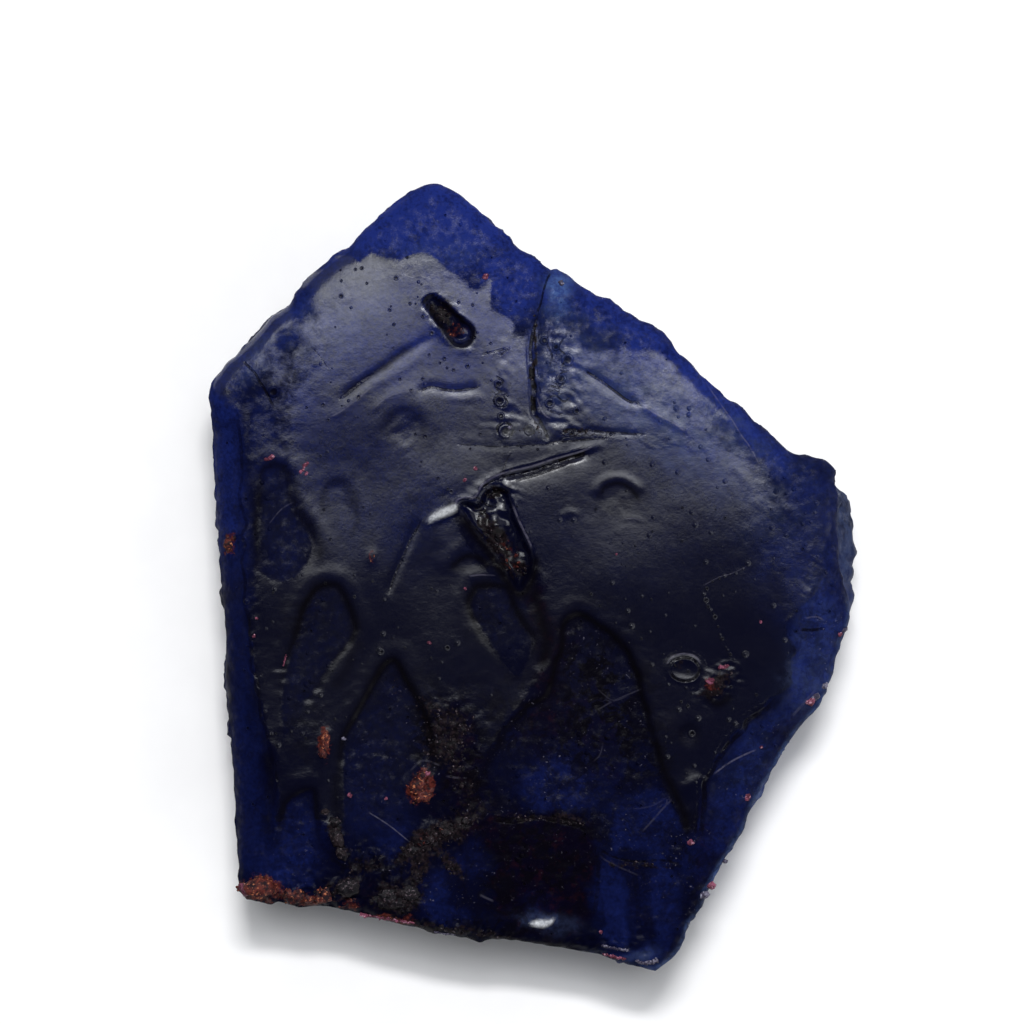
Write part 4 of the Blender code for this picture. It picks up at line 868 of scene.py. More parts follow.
def crease_relief(x, y):
    """Every ridge and groove, a bell across its line."""
    height = np.zeros(np.shape(x))
    for points, rise, half_width in CREASES:
        here, off, share = near_line(x, y, points, 3 * half_width)
        height[here] += rise * np.exp(-((off / half_width) ** 2)) * fading_ends(share)
    return height


def ledge_relief(x, y):
    """A crest along the ledge and a drop on its right that fills up again with distance."""
    height = np.zeros(np.shape(x))
    here, off, share = near_line(x, y, LEDGE, 4 * LEDGE_REACH)
    bell = np.exp(-((off / LEDGE_WIDTH) ** 2))
    fallen = LEDGE_DROP * (1 - bell) * np.exp(-np.abs(off) / LEDGE_REACH) * (off > 0)
    height[here] = (LEDGE_CREST * bell - fallen) * fading_ends(share)
    return height


def socket_relief(x, y):
    """The steep-sided hollow near the middle, with an uneven floor."""
    floor = 1 + 0.3 * layered_noise(x, y, 1.0, SEED + 2)
    return -SOCKET_DEPTH * step(0, 0.5, inside_curve(x, y, SOCKET)) * floor


def raisin_reach(x, y):
    """Each place's distance from the middle line of the raisin-shaped pit, in half widths of the pit."""
    off, share = along_line(x, y, np.array([RAISIN_FROM, RAISIN_TO]))
    return np.abs(off) / (RAISIN_RADII[0] + (RAISIN_RADII[1] - RAISIN_RADII[0]) * share)


def raisin_relief(x, y):
    """A pit with round ends, narrow above and wide below, inside a low rim, with a grain in it."""
    reach = raisin_reach(x, y)
    rim = RAISIN_RIM * np.exp(-(((reach - 1.3) / 0.25) ** 2))
    grain = RAISIN_GRAIN_HEIGHT * oval(x, y, *RAISIN_GRAIN)
    return rim + grain - RAISIN_DEPTH * step(1.08, 0.6, reach)


def rough_relief(x, y):
    """Patches of curly ground: one minus the size of layered noise, so that it makes thin winding ridges."""
    height = np.zeros(np.shape(x))
    for seed, (*place, rise, length) in enumerate(ROUGH_GROUND):
        centre, reach = np.array(place[:2]), 2.2 * max(place[2:4])
        here = near(x, y, [centre - reach, centre + reach], 0)
        u, v = x[here], y[here]
        curls = 1 - 2.2 * np.abs(layered_noise(u, v, length, SEED + 20 + seed, 2))
        height[here] += rise * curls * np.minimum(1, 1.6 * oval(u, v, *place))
    return height


def ring_relief(x, y):
    """A ring-shaped bump with a hollow in it: a bell across the ring, strongest on its north side."""
    centre_x, centre_y, half_length, half_width, rise = RING_BUMP
    reach = np.sqrt(((x - centre_x) / half_length) ** 2 + ((y - centre_y) / half_width) ** 2)
    reach = reach + 0.16 * noise(x, y, 0.9, SEED + 4)
    north = 0.7 + 0.3 * step(-0.5, 0.6, y - centre_y)
    return rise * north * np.exp(-(((reach - 1) / 0.24) ** 2)) - 0.02 * np.exp(-((reach / 0.6) ** 2))


def skin_cover(x, y):
    """1 where the skin lies and 0 where bare crystal shows, with an edge that wanders."""
    u, v = wandering(x, y, *SKIN_WANDER, SEED + 70)
    thin = THIN_SKIN_COVER * step(-0.5, 0.6, inside_curve(u, v, THIN_SKIN_OUTLINE))
    cover = np.maximum(step(-0.1, 0.5, inside_curve(u, v, SKIN_OUTLINE)), thin)
    for here, inside, _, (_, _, bareness, _) in window_places(x, y, 0):
        cover[here] *= 1 - bareness * step(0.1, 0.8, inside)
    return cover * (1 - spots(x, y, WORN_SPOTS))


def bare_grain(x, y, cover):
    """The fine unevenness of bare crystal, and a far weaker one of the skin."""
    fine = layered_noise(x, y, 0.7, SEED + 80, 2) + 0.8 * noise(x, y, 2.2, SEED + 84)
    return (0.024 * (1 - cover) + 0.003) * fine


def top_height(x, y, shape, cover):
    """The top's height over the underside at each place, in millimetres."""
    relief = window_relief(x, y) + crease_relief(x, y) + ledge_relief(x, y)
    relief = relief + socket_relief(x, y) + raisin_relief(x, y) + ring_relief(x, y)
    relief = relief + rough_relief(x, y) + bare_grain(x, y, cover)
    for *place, rise in LUMPS:
        relief = relief + rise * oval(x, y, *place)
    strip = bare_fall(x, y, STRIP_EDGE, STRIP_STEP, STRIP_FALL)
    flank = bare_fall(x, y, FLANK_EDGE, FLANK_STEP, FLANK_FALL)
    return slab(x, y, shape) - rim_fall(x, y) - (strip + flank) + shape.relief * relief


# ----------------------------------------
# The closed stone.

CELLS_ACROSS = 228
CELLS_ALONG = 272
WALL_LEVELS = (0.985, 0.96, 0.91, 0.84, 0.75, 0.65, 0.54, 0.43, 0.32, 0.21, 0.11, 0.04)
WALL_UNDERCUT = 0.55
FOOT_CHAMFER = 0.5
CHIP_REACH = 1.55
CHIP_BEYOND_X = 20.0
CHIP_FROM_Y = -2.6
CHIP_TO_Y = 8.4
CHIP_FULL_Y = (0.0, 7.4)
CHIP_FACET_X = (23.4, 23.9)
CHIP_END_LENGTH = 3.5
CHIP_FOOT_LEVEL = 0.5
CHIP_TUCK_LEVELS = (-0.25, 0.35)


def evenly_along(points, count):
    """This many places, ends included, spread evenly along a broken line."""
    points = np.asarray(points, float)
    passed = lengths_passed(points)
    places = np.linspace(0, passed[-1], count)
    return np.stack([np.interp(places, passed, points[:, 0]), np.interp(places, passed, points[:, 1])], 1)


def nibbled(points, seed):
    """The points moved in and out by fine noise along the line, but not its two ends."""
    passed = lengths_passed(points)
    way = np.gradient(points, axis=0)
    normal = np.stack([way[:, 1], -way[:, 0]], 1) / np.hypot(*way.T)[:, None]
    flat = np.full(len(points), float(seed))
    amount = 0.10 * noise(passed, flat, 1.3, seed) + 0.07 * noise(passed, flat, 0.5, seed + 1)
    ends = np.minimum(1, np.minimum(passed, passed[-1] - passed))
    return points + normal * (amount * ends)[:, None]


def stretched_grid(lower, upper, left, right):
    """A grid between four sides: each row blends the left and right ones and each column the lower and upper
    ones, less the blend of the four corners, which both have counted."""
    u = np.linspace(0, 1, len(lower))[:, None, None]
    v = np.linspace(0, 1, len(left))[None, :, None]
    lower, upper, left, right = lower[:, None], upper[:, None], left[None], right[None]
    corners = (1 - u) * ((1 - v) * lower[0] + v * upper[0]) + u * ((1 - v) * lower[-1] + v * upper[-1])
    return (1 - v) * lower + v * upper + (1 - u) * left + u * right - corners


def grid_numbers(across, along, first):
    """The numbers of a grid's vertices, of which this is the first."""
    return first + np.arange((across + 1) * (along + 1)).reshape(across + 1, along + 1)


def border_numbers(across, along, first=0):
    """A grid's border vertices by number, counterclockwise from its first corner."""
    number = grid_numbers(across, along, first)
    return np.concatenate([number[:-1, 0], number[-1, :-1], number[:0:-1, -1], number[0, :0:-1]])


def grid_faces(across, along, first=0):
    """The quads of a grid of vertices, counterclockwise."""
    number = grid_numbers(across, along, first)
    return np.stack([number[:-1, :-1], number[1:, :-1], number[1:, 1:], number[:-1, 1:]], 2).reshape(-1, 4)


def outward(loop, reach=5):
    """The direction out of a counterclockwise loop at each of its points, evened out over its neighbours."""
    along = sum(np.roll(loop, -k, 0) - np.roll(loop, k, 0) for k in range(1, reach))
    normal = np.stack([along[:, 1], -along[:, 0]], 1)
    return normal / np.linalg.norm(normal, axis=1, keepdims=True)


def chip_lean(rim):
    """How far the chipped facet on the right wall leans out: all of it mid-facet and none at its ends."""
    y = rim[:, 1]
    south = step(CHIP_FROM_Y, CHIP_FROM_Y + CHIP_END_LENGTH, y)
    north = step(CHIP_TO_Y, CHIP_TO_Y - CHIP_END_LENGTH, y)
    return np.where(rim[:, 0] > CHIP_BEYOND_X, CHIP_REACH * (south * north), 0.0)


def wall_rows(rim, heights, shape):
    """Rings of points down the wall. Each ring wanders by noise of the way around and the depth, in long
    upright flutes, shell-like steps and fine grain, and the lowest is the foot."""
    normal = outward(rim)
    passed = np.cumsum(np.hypot(*(rim - np.roll(rim, 1, 0)).T))
    lean = chip_lean(rim)
    rows = []
    for level in WALL_LEVELS:
        depth = np.full(len(rim), level * shape.rim_thickness / MM)
        flutes = 0.5 * noise(passed, depth * 0.25, 1.1, SEED + 90)
        flutes = flutes + noise(passed, depth * 0.5, 3.4, SEED + 91)
        steps = 0.45 * (1 - 2 * np.abs(layered_noise(passed + depth, depth * 1.6, 2.4, SEED + 92)))
        grain = 0.22 * layered_noise(passed, depth, 0.8, SEED + 96, 2)
        free = np.minimum(1, 5 * (1 - level))
        out = shape.wall_roughness / MM * (flutes * 0.6 + steps + grain) * free * min(1, 0.35 + 3 * level)
        leaning = lean * step(1.0, CHIP_FOOT_LEVEL, level) * step(*CHIP_TUCK_LEVELS, level)
        out = out - WALL_UNDERCUT * (1 - level) + leaning
        rows.append(np.column_stack([rim + normal * out[:, None], heights * level]))
    return rows


def underside_height(x, y, inside, shape):
    """Flat ground at 0 with shell-shaped scars broken up into it, none of them at its border."""
    scars = np.clip(layered_noise(x, y, 9.0, SEED + 100) - 0.12, 0, None) * 1.6
    dents = np.clip(layered_noise(x, y, 2.2, SEED + 104) - 0.25, 0, None) * 0.7
    grain = np.clip(0.05 * (1 + layered_noise(x, y, 0.9, SEED + 108)), 0, None)
    hollows = shape.underside_scars / MM * np.clip(scars + dents, 0, 1.4)
    return (hollows + grain) * step(0, 1.2, inside)


def ring_faces(upper, lower):
    """Quads that join rings of vertex numbers to the rings below them, looking outwards."""
    return np.stack([upper, lower, np.roll(lower, -1, -1), np.roll(upper, -1, -1)], -1).reshape(-1, 4)


def halving_faces(fine, coarse):
    """Triangles that join a ring to one with half as many points: three for each gap of the coarse ring."""
    here, middle, after = fine[0::2], fine[1::2], np.roll(fine[0::2], -1)
    beyond = np.roll(coarse, -1)
    return np.concatenate([
        np.stack([here, coarse, middle], 1),
        np.stack([middle, coarse, beyond], 1),
        np.stack([middle, beyond, after], 1),
    ])


def stone_surface(shape):
    """The stone's points in millimetres, its faces, and how much skin there is at each of the top's points,
    which come first."""
    counts = (CELLS_ACROSS, CELLS_ACROSS, CELLS_ALONG, CELLS_ALONG)
    grid = stretched_grid(*(
        nibbled(evenly_along(points, count + 1), SEED + 110 + 2 * k)
        for k, (points, count) in enumerate(zip((LOWER_RIM, UPPER_RIM, LEFT_RIM, RIGHT_RIM), counts))))
    x, y = grid[..., 0].ravel(), grid[..., 1].ravel()
    cover = skin_cover(x, y)
    top = np.stack([x, y, top_height(x, y, shape, cover)], 1)
    faces = grid_faces(CELLS_ACROSS, CELLS_ALONG).tolist()
    ring = border_numbers(CELLS_ACROSS, CELLS_ALONG)
    parts, count = [top], len(top)
    rim, heights = top[ring, :2], top[ring, 2]
    for row in wall_rows(rim, heights, shape):
        below = count + np.arange(len(row))
        faces += ring_faces(ring, below).tolist()
        parts.append(row)
        ring, count = below, count + len(row)
    underside, half_faces = underside_surface(parts[-1][:, :2], ring, count, shape)
    parts.append(underside)
    return np.vstack(parts), faces + half_faces, cover


def underside_surface(foot, ring, first, shape):
    """The underside's grid, at half the top's fineness, inside the foot, and the faces that join it on."""
    across, along = CELLS_ACROSS // 2, CELLS_ALONG // 2
    border = (foot - FOOT_CHAMFER * outward(foot))[::2]
    corner = np.cumsum([0, across, along, across])
    loop = np.vstack([border, border[:1]])
    lower, right = loop[: across + 1], loop[corner[1] : corner[2] + 1]
    upper, left = loop[corner[2] : corner[3] + 1][::-1], loop[corner[3] :][::-1]
    grid = stretched_grid(lower, upper, left, right).reshape(-1, 2)
    x, y = grid[:, 0], grid[:, 1]
    inside = inside_distance(x, y, loop)
    points = np.stack([x, y, underside_height(x, y, inside, shape)], 1)
    faces = grid_faces(across, along, first)[:, ::-1].tolist()
    return points, faces + halving_faces(ring, border_numbers(across, along, first)).tolist()


# ----------------------------------------
# Masks that the materials read.

BAND_OFFSET = 0.24
BAND_WIDTH = 0.33
SOCKET_SHADE = 0.3
STAIN_FADE_Z = (5.5, 8.0)
NORTH_FROM_Y = (2.0, 12.0)
NORTH_RIM_BLUE = 0.5
NORTH_RIM_GLOW = 0.4
WALL_BLUE = 0.28
WALL_BLUE_SWING = 0.25
FRINGE_STRENGTH = 0.5
FRINGE_WIDTH = (0.5, 0.05)


def shade_mask(x, y):
    """Painted shade: dark bands just inside the windows' edges and along the broad dark lines, and darkness
    in the pits.
    """
    shade = np.zeros(np.shape(x))
    for here, inside, left, (_, _, _, darkness) in window_places(x, y):
        band = darkness * left * np.exp(-(((inside - BAND_OFFSET) / BAND_WIDTH) ** 2))
        shade[here] = np.maximum(shade[here], band)
    for points, half_width, amount in SHADE_LINES:
        here, off, share = near_line(x, y, points, 3 * half_width)
        bell = amount * fading_ends(share) * np.exp(-((off / half_width) ** 2))
        shade[here] = np.maximum(shade[here], bell)
    # painted shade inside the socket, and in and around the raisin-shaped pit
    socket = SOCKET_SHADE * step(-0.2, 0.25, inside_curve(x, y, SOCKET))
    reach = raisin_reach(x, y)
    raisin = step(1.4, 1.15, reach) * (0.35 + 0.65 * step(0.6, 0.85, reach))
    return np.maximum(shade, np.maximum(socket, raisin))


def stone_masks(points, cover, on_top):
    """The strength of each finish, painted shade, sheen and glint at every point of the stone, from 0 to 1,
    and the thin lines' distances.
    """
    x, y, z = points.T
    u, v = wandering(x, y, 0.7, 1.6, SEED + 130)
    fine_u, fine_v = wandering(x, y, 0.35, 0.8, SEED + 140)
    edge = inside_distance(x, y, RIM_LOOP)
    north = step(*NORTH_FROM_Y, y - 0.3 * x)
    blue = np.maximum(spots(u, v, BLUE_SPOTS), patches(fine_u, fine_v, BLUE_PATCHES))
    blue = np.maximum(blue, north * NORTH_RIM_BLUE * step(3.5, 1.0, edge))
    near_top = step(*STAIN_FADE_Z, z + 0.8 * layered_noise(x + y, z, 1.2, SEED + 160))
    near_top = np.where(on_top, 1, near_top)
    crushed = FRINGE_STRENGTH * step(*FRINGE_WIDTH, edge) * step(16.0, 22.5, x - 0.45 * y)
    crushed = crushed * step(-1.0, -4.0, y) * (1 + 0.8 * layered_noise(x, y, 2.4, SEED + 165))
    south, north_end = step(CHIP_FROM_Y, CHIP_FULL_Y[0], y), step(CHIP_TO_Y, CHIP_FULL_Y[1], y)
    chip = south * north_end * step(*CHIP_FACET_X, x) * (1 - on_top)
    wall_blue = WALL_BLUE + WALL_BLUE_SWING * layered_noise(x + z, y - z, 6.0, SEED + 150)
    masks = {
        "skin": cover,
        "blue": np.where(on_top, blue, wall_blue),
        "glow": np.maximum(spots(u, v, GLOW_SPOTS), NORTH_RIM_GLOW * north * step(2.2, 0.4, edge)) * on_top,
        "violet": np.maximum(spots(u, v, VIOLET_SPOTS), patches(u, v, VIOLET_PATCHES)) * on_top,
        "soot": spots(u, v, SOOT_AND_GLINT_SPOTS) * on_top,
        "shade": shade_mask(x, y) * on_top,
        "haze": np.maximum(spots(u, v, HAZE_AND_SHEEN_SPOTS) * on_top, chip),
        "slate": spots(u, v, SLATE_AND_SHEEN_SPOTS) * on_top,
        "pale": patches(x, y, GLINT_AND_PALE_PATCHES) * on_top,
        "fringe": np.maximum(crushed, spots(fine_u, fine_v, CYAN_SPOTS) * near_top),
        "grit": spots(fine_u, fine_v, GRIT_SPOTS) * on_top,
        "rust": spots(fine_u, fine_v, RUST_SPOTS) * near_top,
    }
    masks = {name: np.clip(values, 0, 1) for name, values in masks.items()}
    for name, lines in (("crack", CRACK_LINES), ("scratch", SCRATCH_AND_HIGHLIGHT_LINES)):
        masks[name], strength = line_masks(x, y, lines)
        masks[name + "_strength"] = strength * on_top
    return masks


def new_piece(name, points, faces, masks, material):
    """A piece from arrays: its points in metres, its faces, and one float attribute for each mask."""
    mesh = bpy.data.meshes.new(name)
    mesh.from_pydata((np.asarray(points, float) * MM).tolist(), [], faces)
    for key, values in masks.items():
        attribute = mesh.attributes.new(key, "FLOAT", "POINT")
        attribute.data.foreach_set("value", np.asarray(values, np.float32))
    mesh.materials.append(material)
    mesh.shade_smooth()
    mesh.update()
    piece = bpy.data.objects.new(name, mesh)
    bpy.context.scene.collection.objects.link(piece)
    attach(piece, "root")
    return piece


# ----------------------------------------
# Materials.


class Nodes:
    """A short way to write nodes: each call adds a node or a few and gives back the output of the last."""

    def __init__(self, block, coordinates="Object"):
        block.use_nodes = True
        self.tree = block.node_tree
        self.place = self.add("ShaderNodeTexCoord").outputs[coordinates]

    def add(self, kind, **settings):
        node = self.tree.nodes.new(kind)
        for key, value in settings.items():
            setattr(node, key, value)
        return node

    def feed(self, socket, value):
        if isinstance(value, bpy.types.NodeSocket):
            self.tree.links.new(value, socket)
        elif socket.type == "RGBA":
            socket.default_value = (*value, 1.0)
        else:
            socket.default_value = value

    def mask(self, name):
        return self.add("ShaderNodeAttribute", attribute_name=name).outputs["Fac"]

    def grain(self, length_mm, detail=4.0, roughness=0.55, distortion=0.0):
        node = self.add("ShaderNodeTexNoise")
        self.feed(node.inputs["Vector"], self.place)
        node.inputs["Scale"].default_value = 1 / (length_mm * MM)
        node.inputs["Detail"].default_value = detail
        node.inputs["Roughness"].default_value = roughness
        node.inputs["Distortion"].default_value = distortion
        return node.outputs["Fac"]

    def math(self, operation, first, second=0.0, clamp=False):
        node = self.add("ShaderNodeMath", operation=operation, use_clamp=clamp)
        self.feed(node.inputs[0], first)
        self.feed(node.inputs[1], second)
        return node.outputs[0]

    def plus(self, first, second):
        return self.math("ADD", first, second)

    def times(self, first, second):
        return self.math("MULTIPLY", first, second)

    def most(self, first, second):
        return self.math("MAXIMUM", first, second)

    def without(self, value, mask, share):
        """The value, less this share of it where the mask is 1."""
        return self.times(value, self.math("SUBTRACT", 1.0, self.times(mask, share)))

    def ramp(self, value, low, high, to_low=0.0, to_high=1.0):
        node = self.add("ShaderNodeMapRange", interpolation_type="SMOOTHSTEP")
        self.feed(node.inputs["Value"], value)
        for key, number in (("From Min", low), ("From Max", high), ("To Min", to_low), ("To Max", to_high)):
            node.inputs[key].default_value = number
        return node.outputs["Result"]

    def mottled(self, value, grain, ramp):
        """The value times a ramp of noise, so that it comes out in patches."""
        return self.times(value, self.ramp(self.grain(*grain), *ramp))

    def mix(self, factor, first, second, kind="RGBA"):
        node = self.add("ShaderNodeMix", data_type=kind)
        for key, value in (("Factor", factor), ("A", first), ("B", second)):
            self.feed(node.inputs[key], value)
        return node.outputs["Result"]

    def blend(self, factor, first, second):
        return self.mix(factor, first, second, "FLOAT")

    def bump(self, height, distance_mm, strength):
        node = self.add("ShaderNodeBump")
        node.inputs["Strength"].default_value = strength
        node.inputs["Distance"].default_value = distance_mm * MM
        self.feed(node.inputs["Height"], height)
        return node.outputs["Normal"]


def new_material(name):
    """A material, the helper for its nodes and its main shader."""
    material = bpy.data.materials.new(name)
    n = Nodes(material)
    return material, n, n.tree.nodes["Principled BSDF"]


def thin_line(n, name, borders):
    """1 on the thin lines of this name, with gaps, from the stored distance and strength."""
    body = n.times(n.ramp(n.math("ABSOLUTE", n.mask(name)), *borders), n.mask(name + "_strength"))
    return n.mottled(body, (0.5, 4.0, 0.6), (0.36, 0.56, 0.35, 1.0))


VIOLET_RED = (0.010, 0.0022, 0.0045)
GRIT_SHADOW = (0.002, 0.0015, 0.0025)
RUST_SHADOW = (0.02, 0.004, 0.004)
WHITE_OF_GLINTS_AND_CRYSTAL = (0.85, 0.87, 0.9)


def sapphire_material(finish):
    """Bare blue crystal, the clear skin on it and the crust's stains, each mixed in by its own mask."""
    material, n, shader = new_material("sapphire_blue")
    violet, grit, soot = n.mask("violet"), n.mask("grit"), n.mask("soot")
    # crystal: navy to bright blue, and the coloured films on it
    ragged = n.ramp(n.grain(1.0, 6.0, 0.7, 0.4), 0.3, 0.7, -0.18, 0.18)
    skin = n.ramp(n.plus(n.mask("skin"), ragged), 0.22, 0.78)
    mottle = n.ramp(n.grain(1.6, 5.0, 0.6, 0.3), 0.3, 0.7, -0.3, 0.26)
    speckle = n.ramp(n.grain(0.28, 3.0, 0.6), 0.32, 0.68, -0.3, 0.32)
    lit = n.blend(skin, n.mask("blue"), n.mask("glow"))
    bright = n.math("MULTIPLY", n.plus(n.plus(mottle, speckle), 1.0), lit, clamp=True)
    colour = n.mix(bright, finish.navy, finish.bright_blue)
    violet_tone = n.mix(n.ramp(n.grain(0.8, 5.0, 0.7), 0.5, 0.72), finish.violet, VIOLET_RED)
    colour = n.mix(n.mottled(violet, (1.5, 5.0, 0.65), (0.32, 0.56, 0.3, 1.0)), colour, violet_tone)
    # haze, with painted sheen on the upper right and a painted glow around the crescent glint
    haze = n.mottled(n.mask("haze"), (0.9, 5.0, 0.65), (0.3, 0.7, 0.2, 1.0))
    colour = n.mix(haze, colour, finish.haze)
    # slate film on the window floors, partly painted sheen
    slate = n.mottled(n.mask("slate"), (0.7, 6.0, 0.7), (0.3, 0.65, 0.45, 1.0))
    colour = n.mix(slate, colour, finish.slate)
    blotches = n.mottled(soot, (1.2, 6.0, 0.68, 0.6), (0.44, 0.56))
    colour = n.mix(n.times(blotches, 0.85), colour, finish.soot)
    fringe = n.mottled(n.mask("fringe"), (0.5, 4.0, 0.7), (0.4, 0.6, 0.3, 1.0))
    colour = n.mix(n.times(fringe, 0.8), colour, finish.fringe)
    # stains of crust
    crumbs = n.grain(0.28, 5.0, 0.7)
    grit_tone = n.mix(n.ramp(crumbs, 0.4, 0.66), GRIT_SHADOW, finish.grit)
    grit_cover = n.plus(grit, n.ramp(n.grain(0.5, 4.0, 0.7), 0.3, 0.7, -0.35, 0.25))
    grit_cover = n.ramp(grit_cover, 0.25, 0.75)
    colour = n.mix(grit_cover, colour, grit_tone)
    rust_tone = n.mix(n.ramp(crumbs, 0.35, 0.65), RUST_SHADOW, finish.rust)
    rust_cover = n.plus(n.mask("rust"), n.ramp(n.grain(0.45, 4.0, 0.7), 0.3, 0.7, -0.3, 0.25))
    rust_cover = n.ramp(rust_cover, 0.35, 0.7)
    colour = n.mix(rust_cover, colour, rust_tone)
    # dark cracks and painted shade bands, bright scratches and painted highlights, painted glint dots, and
    # white crystal with painted white glints
    crack, scratch = thin_line(n, "crack", (1.3, 0.7)), thin_line(n, "scratch", (1.0, 0.3))
    dark = n.most(crack, n.times(n.mask("shade"), 0.9))
    colour = n.mix(dark, colour, finish.soot)
    # painted glints: small white dots on the blotched bare crystal
    painted_glints = n.times(n.ramp(n.grain(0.24, 2.0, 0.6), 0.64, 0.8), n.ramp(soot, 0.1, 0.6, 0.0, 0.6))
    painted_glints = n.mottled(painted_glints, (1.5, 2.0), (0.4, 0.62))
    painted_glints = n.without(painted_glints, n.most(skin, n.times(violet, 0.8)), 1.0)
    colour = n.mix(n.most(n.times(scratch, 0.36), painted_glints), colour, finish.pale)
    # painted white glints on the facet and the crescent, and a faint white patch
    pale = n.mottled(n.mask("pale"), (0.35, 4.0, 0.7), (0.36, 0.6, 0.5, 1.0))
    colour = n.mix(pale, colour, WHITE_OF_GLINTS_AND_CRYSTAL)
    n.feed(shader.inputs["Base Color"], colour)
    rough = n.plus(n.ramp(n.grain(0.8, 4.0), 0.3, 0.7, -0.06, 0.08), finish.bare_roughness)
    n.feed(shader.inputs["Roughness"], rough)
    shader.inputs["IOR"].default_value = 1.5
    shader.inputs["Specular IOR Level"].default_value = 0.02
    # the clear skin is a coat, worn in places and thin on crust
    crust = n.most(n.times(grit_cover, 0.7), rust_cover)
    wear = n.ramp(n.grain(0.4, 7.0, 0.8, 0.3), 0.34, 0.58, 0.66, 1.0)
    film = n.blend(skin, n.ramp(n.grain(0.6, 4.0), 0.42, 0.75, 0.0, 0.18), wear)
    film = n.without(n.without(film, violet, 0.8), dark, 0.85)
    n.feed(shader.inputs["Coat Weight"], n.blend(crust, film, 0.12))
    shader.inputs["Coat Roughness"].default_value = finish.skin_roughness
    shader.inputs["Coat IOR"].default_value = 1.5
    # fine unevenness, far weaker under the skin
    gritty = n.times(crumbs, n.most(grit, n.times(soot, 0.7)))
    lumps = n.times(n.plus(n.grain(0.55, 5.0, 0.65), gritty), n.blend(n.mask("skin"), 1.0, 0.2))
    lumps = n.plus(lumps, n.times(n.grain(0.2, 2.0), 0.08))
    uneven = n.bump(n.math("SUBTRACT", lumps, n.times(crack, 0.8)), 0.06, 0.7)
    n.feed(shader.inputs["Normal"], uneven)
    n.feed(shader.inputs["Coat Normal"], uneven)
    return material


def grain_material(name, middle, dark, light, gloss):
    """Crust: its own tone, mottled by noise from dark to its middle colour, with light flecks and a gloss."""
    material, n, shader = new_material(name)
    blotches = n.ramp(n.grain(0.45, 5.0, 0.7), 0.3, 0.7, -0.9, 0.8)
    mottled = n.math("ADD", n.mask("tone"), blotches, clamp=True)
    flecks = n.ramp(n.grain(0.25, 3.0, 0.6), 0.57, 0.67, 0.0, 0.75)
    colour = n.mix(flecks, n.mix(mottled, dark, middle), light)
    n.feed(shader.inputs["Base Color"], colour)
    n.feed(shader.inputs["Roughness"], n.ramp(n.grain(0.4, 2.0), 0.3, 0.7, 0.45, 0.75))
    shader.inputs["Specular IOR Level"].default_value = 0.05
    shader.inputs["Coat Weight"].default_value = gloss
    shader.inputs["Coat Roughness"].default_value = 0.2
    uneven = n.bump(n.grain(0.22, 4.0, 0.7), 0.08, 0.9)
    n.feed(shader.inputs["Normal"], uneven)
    n.feed(shader.inputs["Coat Normal"], uneven)
    return material


# ----------------------------------------
# Loose-looking crust grains that grew on the stone.

ROSE_SPECKS = (
    (-20.6, 9.2, 0.5, 0.2, 25), (-17.9, 8.5, 0.6, 0.17, 60), (-3.7, 23.4, 0.3, 0.26, 0),
    (-4.5, 8.4, 0.25, 0.16, 40), (-5.3, 7.5, 0.22, 0.14, 40), (-5.3, -1, 0.14, 0.1, 0),
    (-8.1, -5.2, 0.2, 0.14, 0), (-4.4, -13.4, 0.18, 0.14, 0), (6.5, 1.7, 0.12, 0.1, 0),
    (13.9, -8.2, 0.36, 0.26, 20), (14.9, -7.1, 0.5, 0.18, 10), (17.8, -3.6, 0.14, 0.12, 0),
    (-21.8, -4.7, 0.18, 0.14, 0), (-21.6, -3.3, 0.16, 0.12, 0), (-19.4, -6.6, 0.5, 0.07, 75),
    (-11.5, -17.4, 0.18, 0.14, 0), (12.3, -20.8, 0.2, 0.26, 0), (16.8, -17.3, 0.4, 0.34, 30),
    (17.9, -13.4, 0.16, 0.12, 0), (21.7, -9.8, 0.5, 0.3, 40), (24.1, -4.6, 0.22, 0.16, 0),
    (13.9, -24.2, 0.4, 0.36, 0), (5.3, -27.8, 0.18, 0.14, 0), (-22.6, -24.5, 0.4, 0.5, 0),
    (-12.4, -26.7, 1.2, 0.16, -8), (-10.4, -27, 1.2, 0.16, -8), (6.4, -29.8, 1, 0.18, -10),
    (-8.3, -15.5, 0.3, 0.22, 0), (-14.3, -17.2, 0.22, 0.16, 0), (-17.7, 8, 0.2, 0.12, 60),
)
PALE_SPECKS = (
    (9.3, -30.2, 0.6, 0.22, 15), (8.4, -30.2, 0.4, 0.16, -15), (22.1, -9.5, 0.4, 0.24, 50),
    (6.4, -29.1, 1.1, 0.12, -10), (-14.8, -12.7, 0.24, 0.16, 0), (22.9, -8.6, 0.2, 0.3, 0),
    (13.3, -25, 0.16, 0.4, 10), (-6.9, -28, 0.9, 0.1, -8), (-1.8, 11.6, 0.24, 0.16, 0),
    (2.2, 22.9, 0.3, 0.2, -40), (15, -22.4, 0.14, 0.3, -30), (24.5, -4.3, 0.16, 0.24, 0),
)


BLISTER_RINGS = (0.0, 0.25, 0.5, 0.68, 0.84, 1.0, 1.2)
BLISTER_SECTORS = 10
BLISTER_LIFT = 0.012
BLISTER_FOOT = 0.05
BLISTER_BASE = 0.12
BARE_OF_BLISTERS = 0.8
BARE_OF_GRAINS = 0.12
GRAIN_SUNK = 0.3
SPECK_SUNK = 0.1
GRAIN_SQUASH = (1, 1, 0.7)


def copies(faces, points, count):
    """The faces of this many copies of a shape that has this many points, one copy after the other."""
    return (faces + points * np.arange(count)[:, None, None]).reshape(-1, faces.shape[1]).tolist()


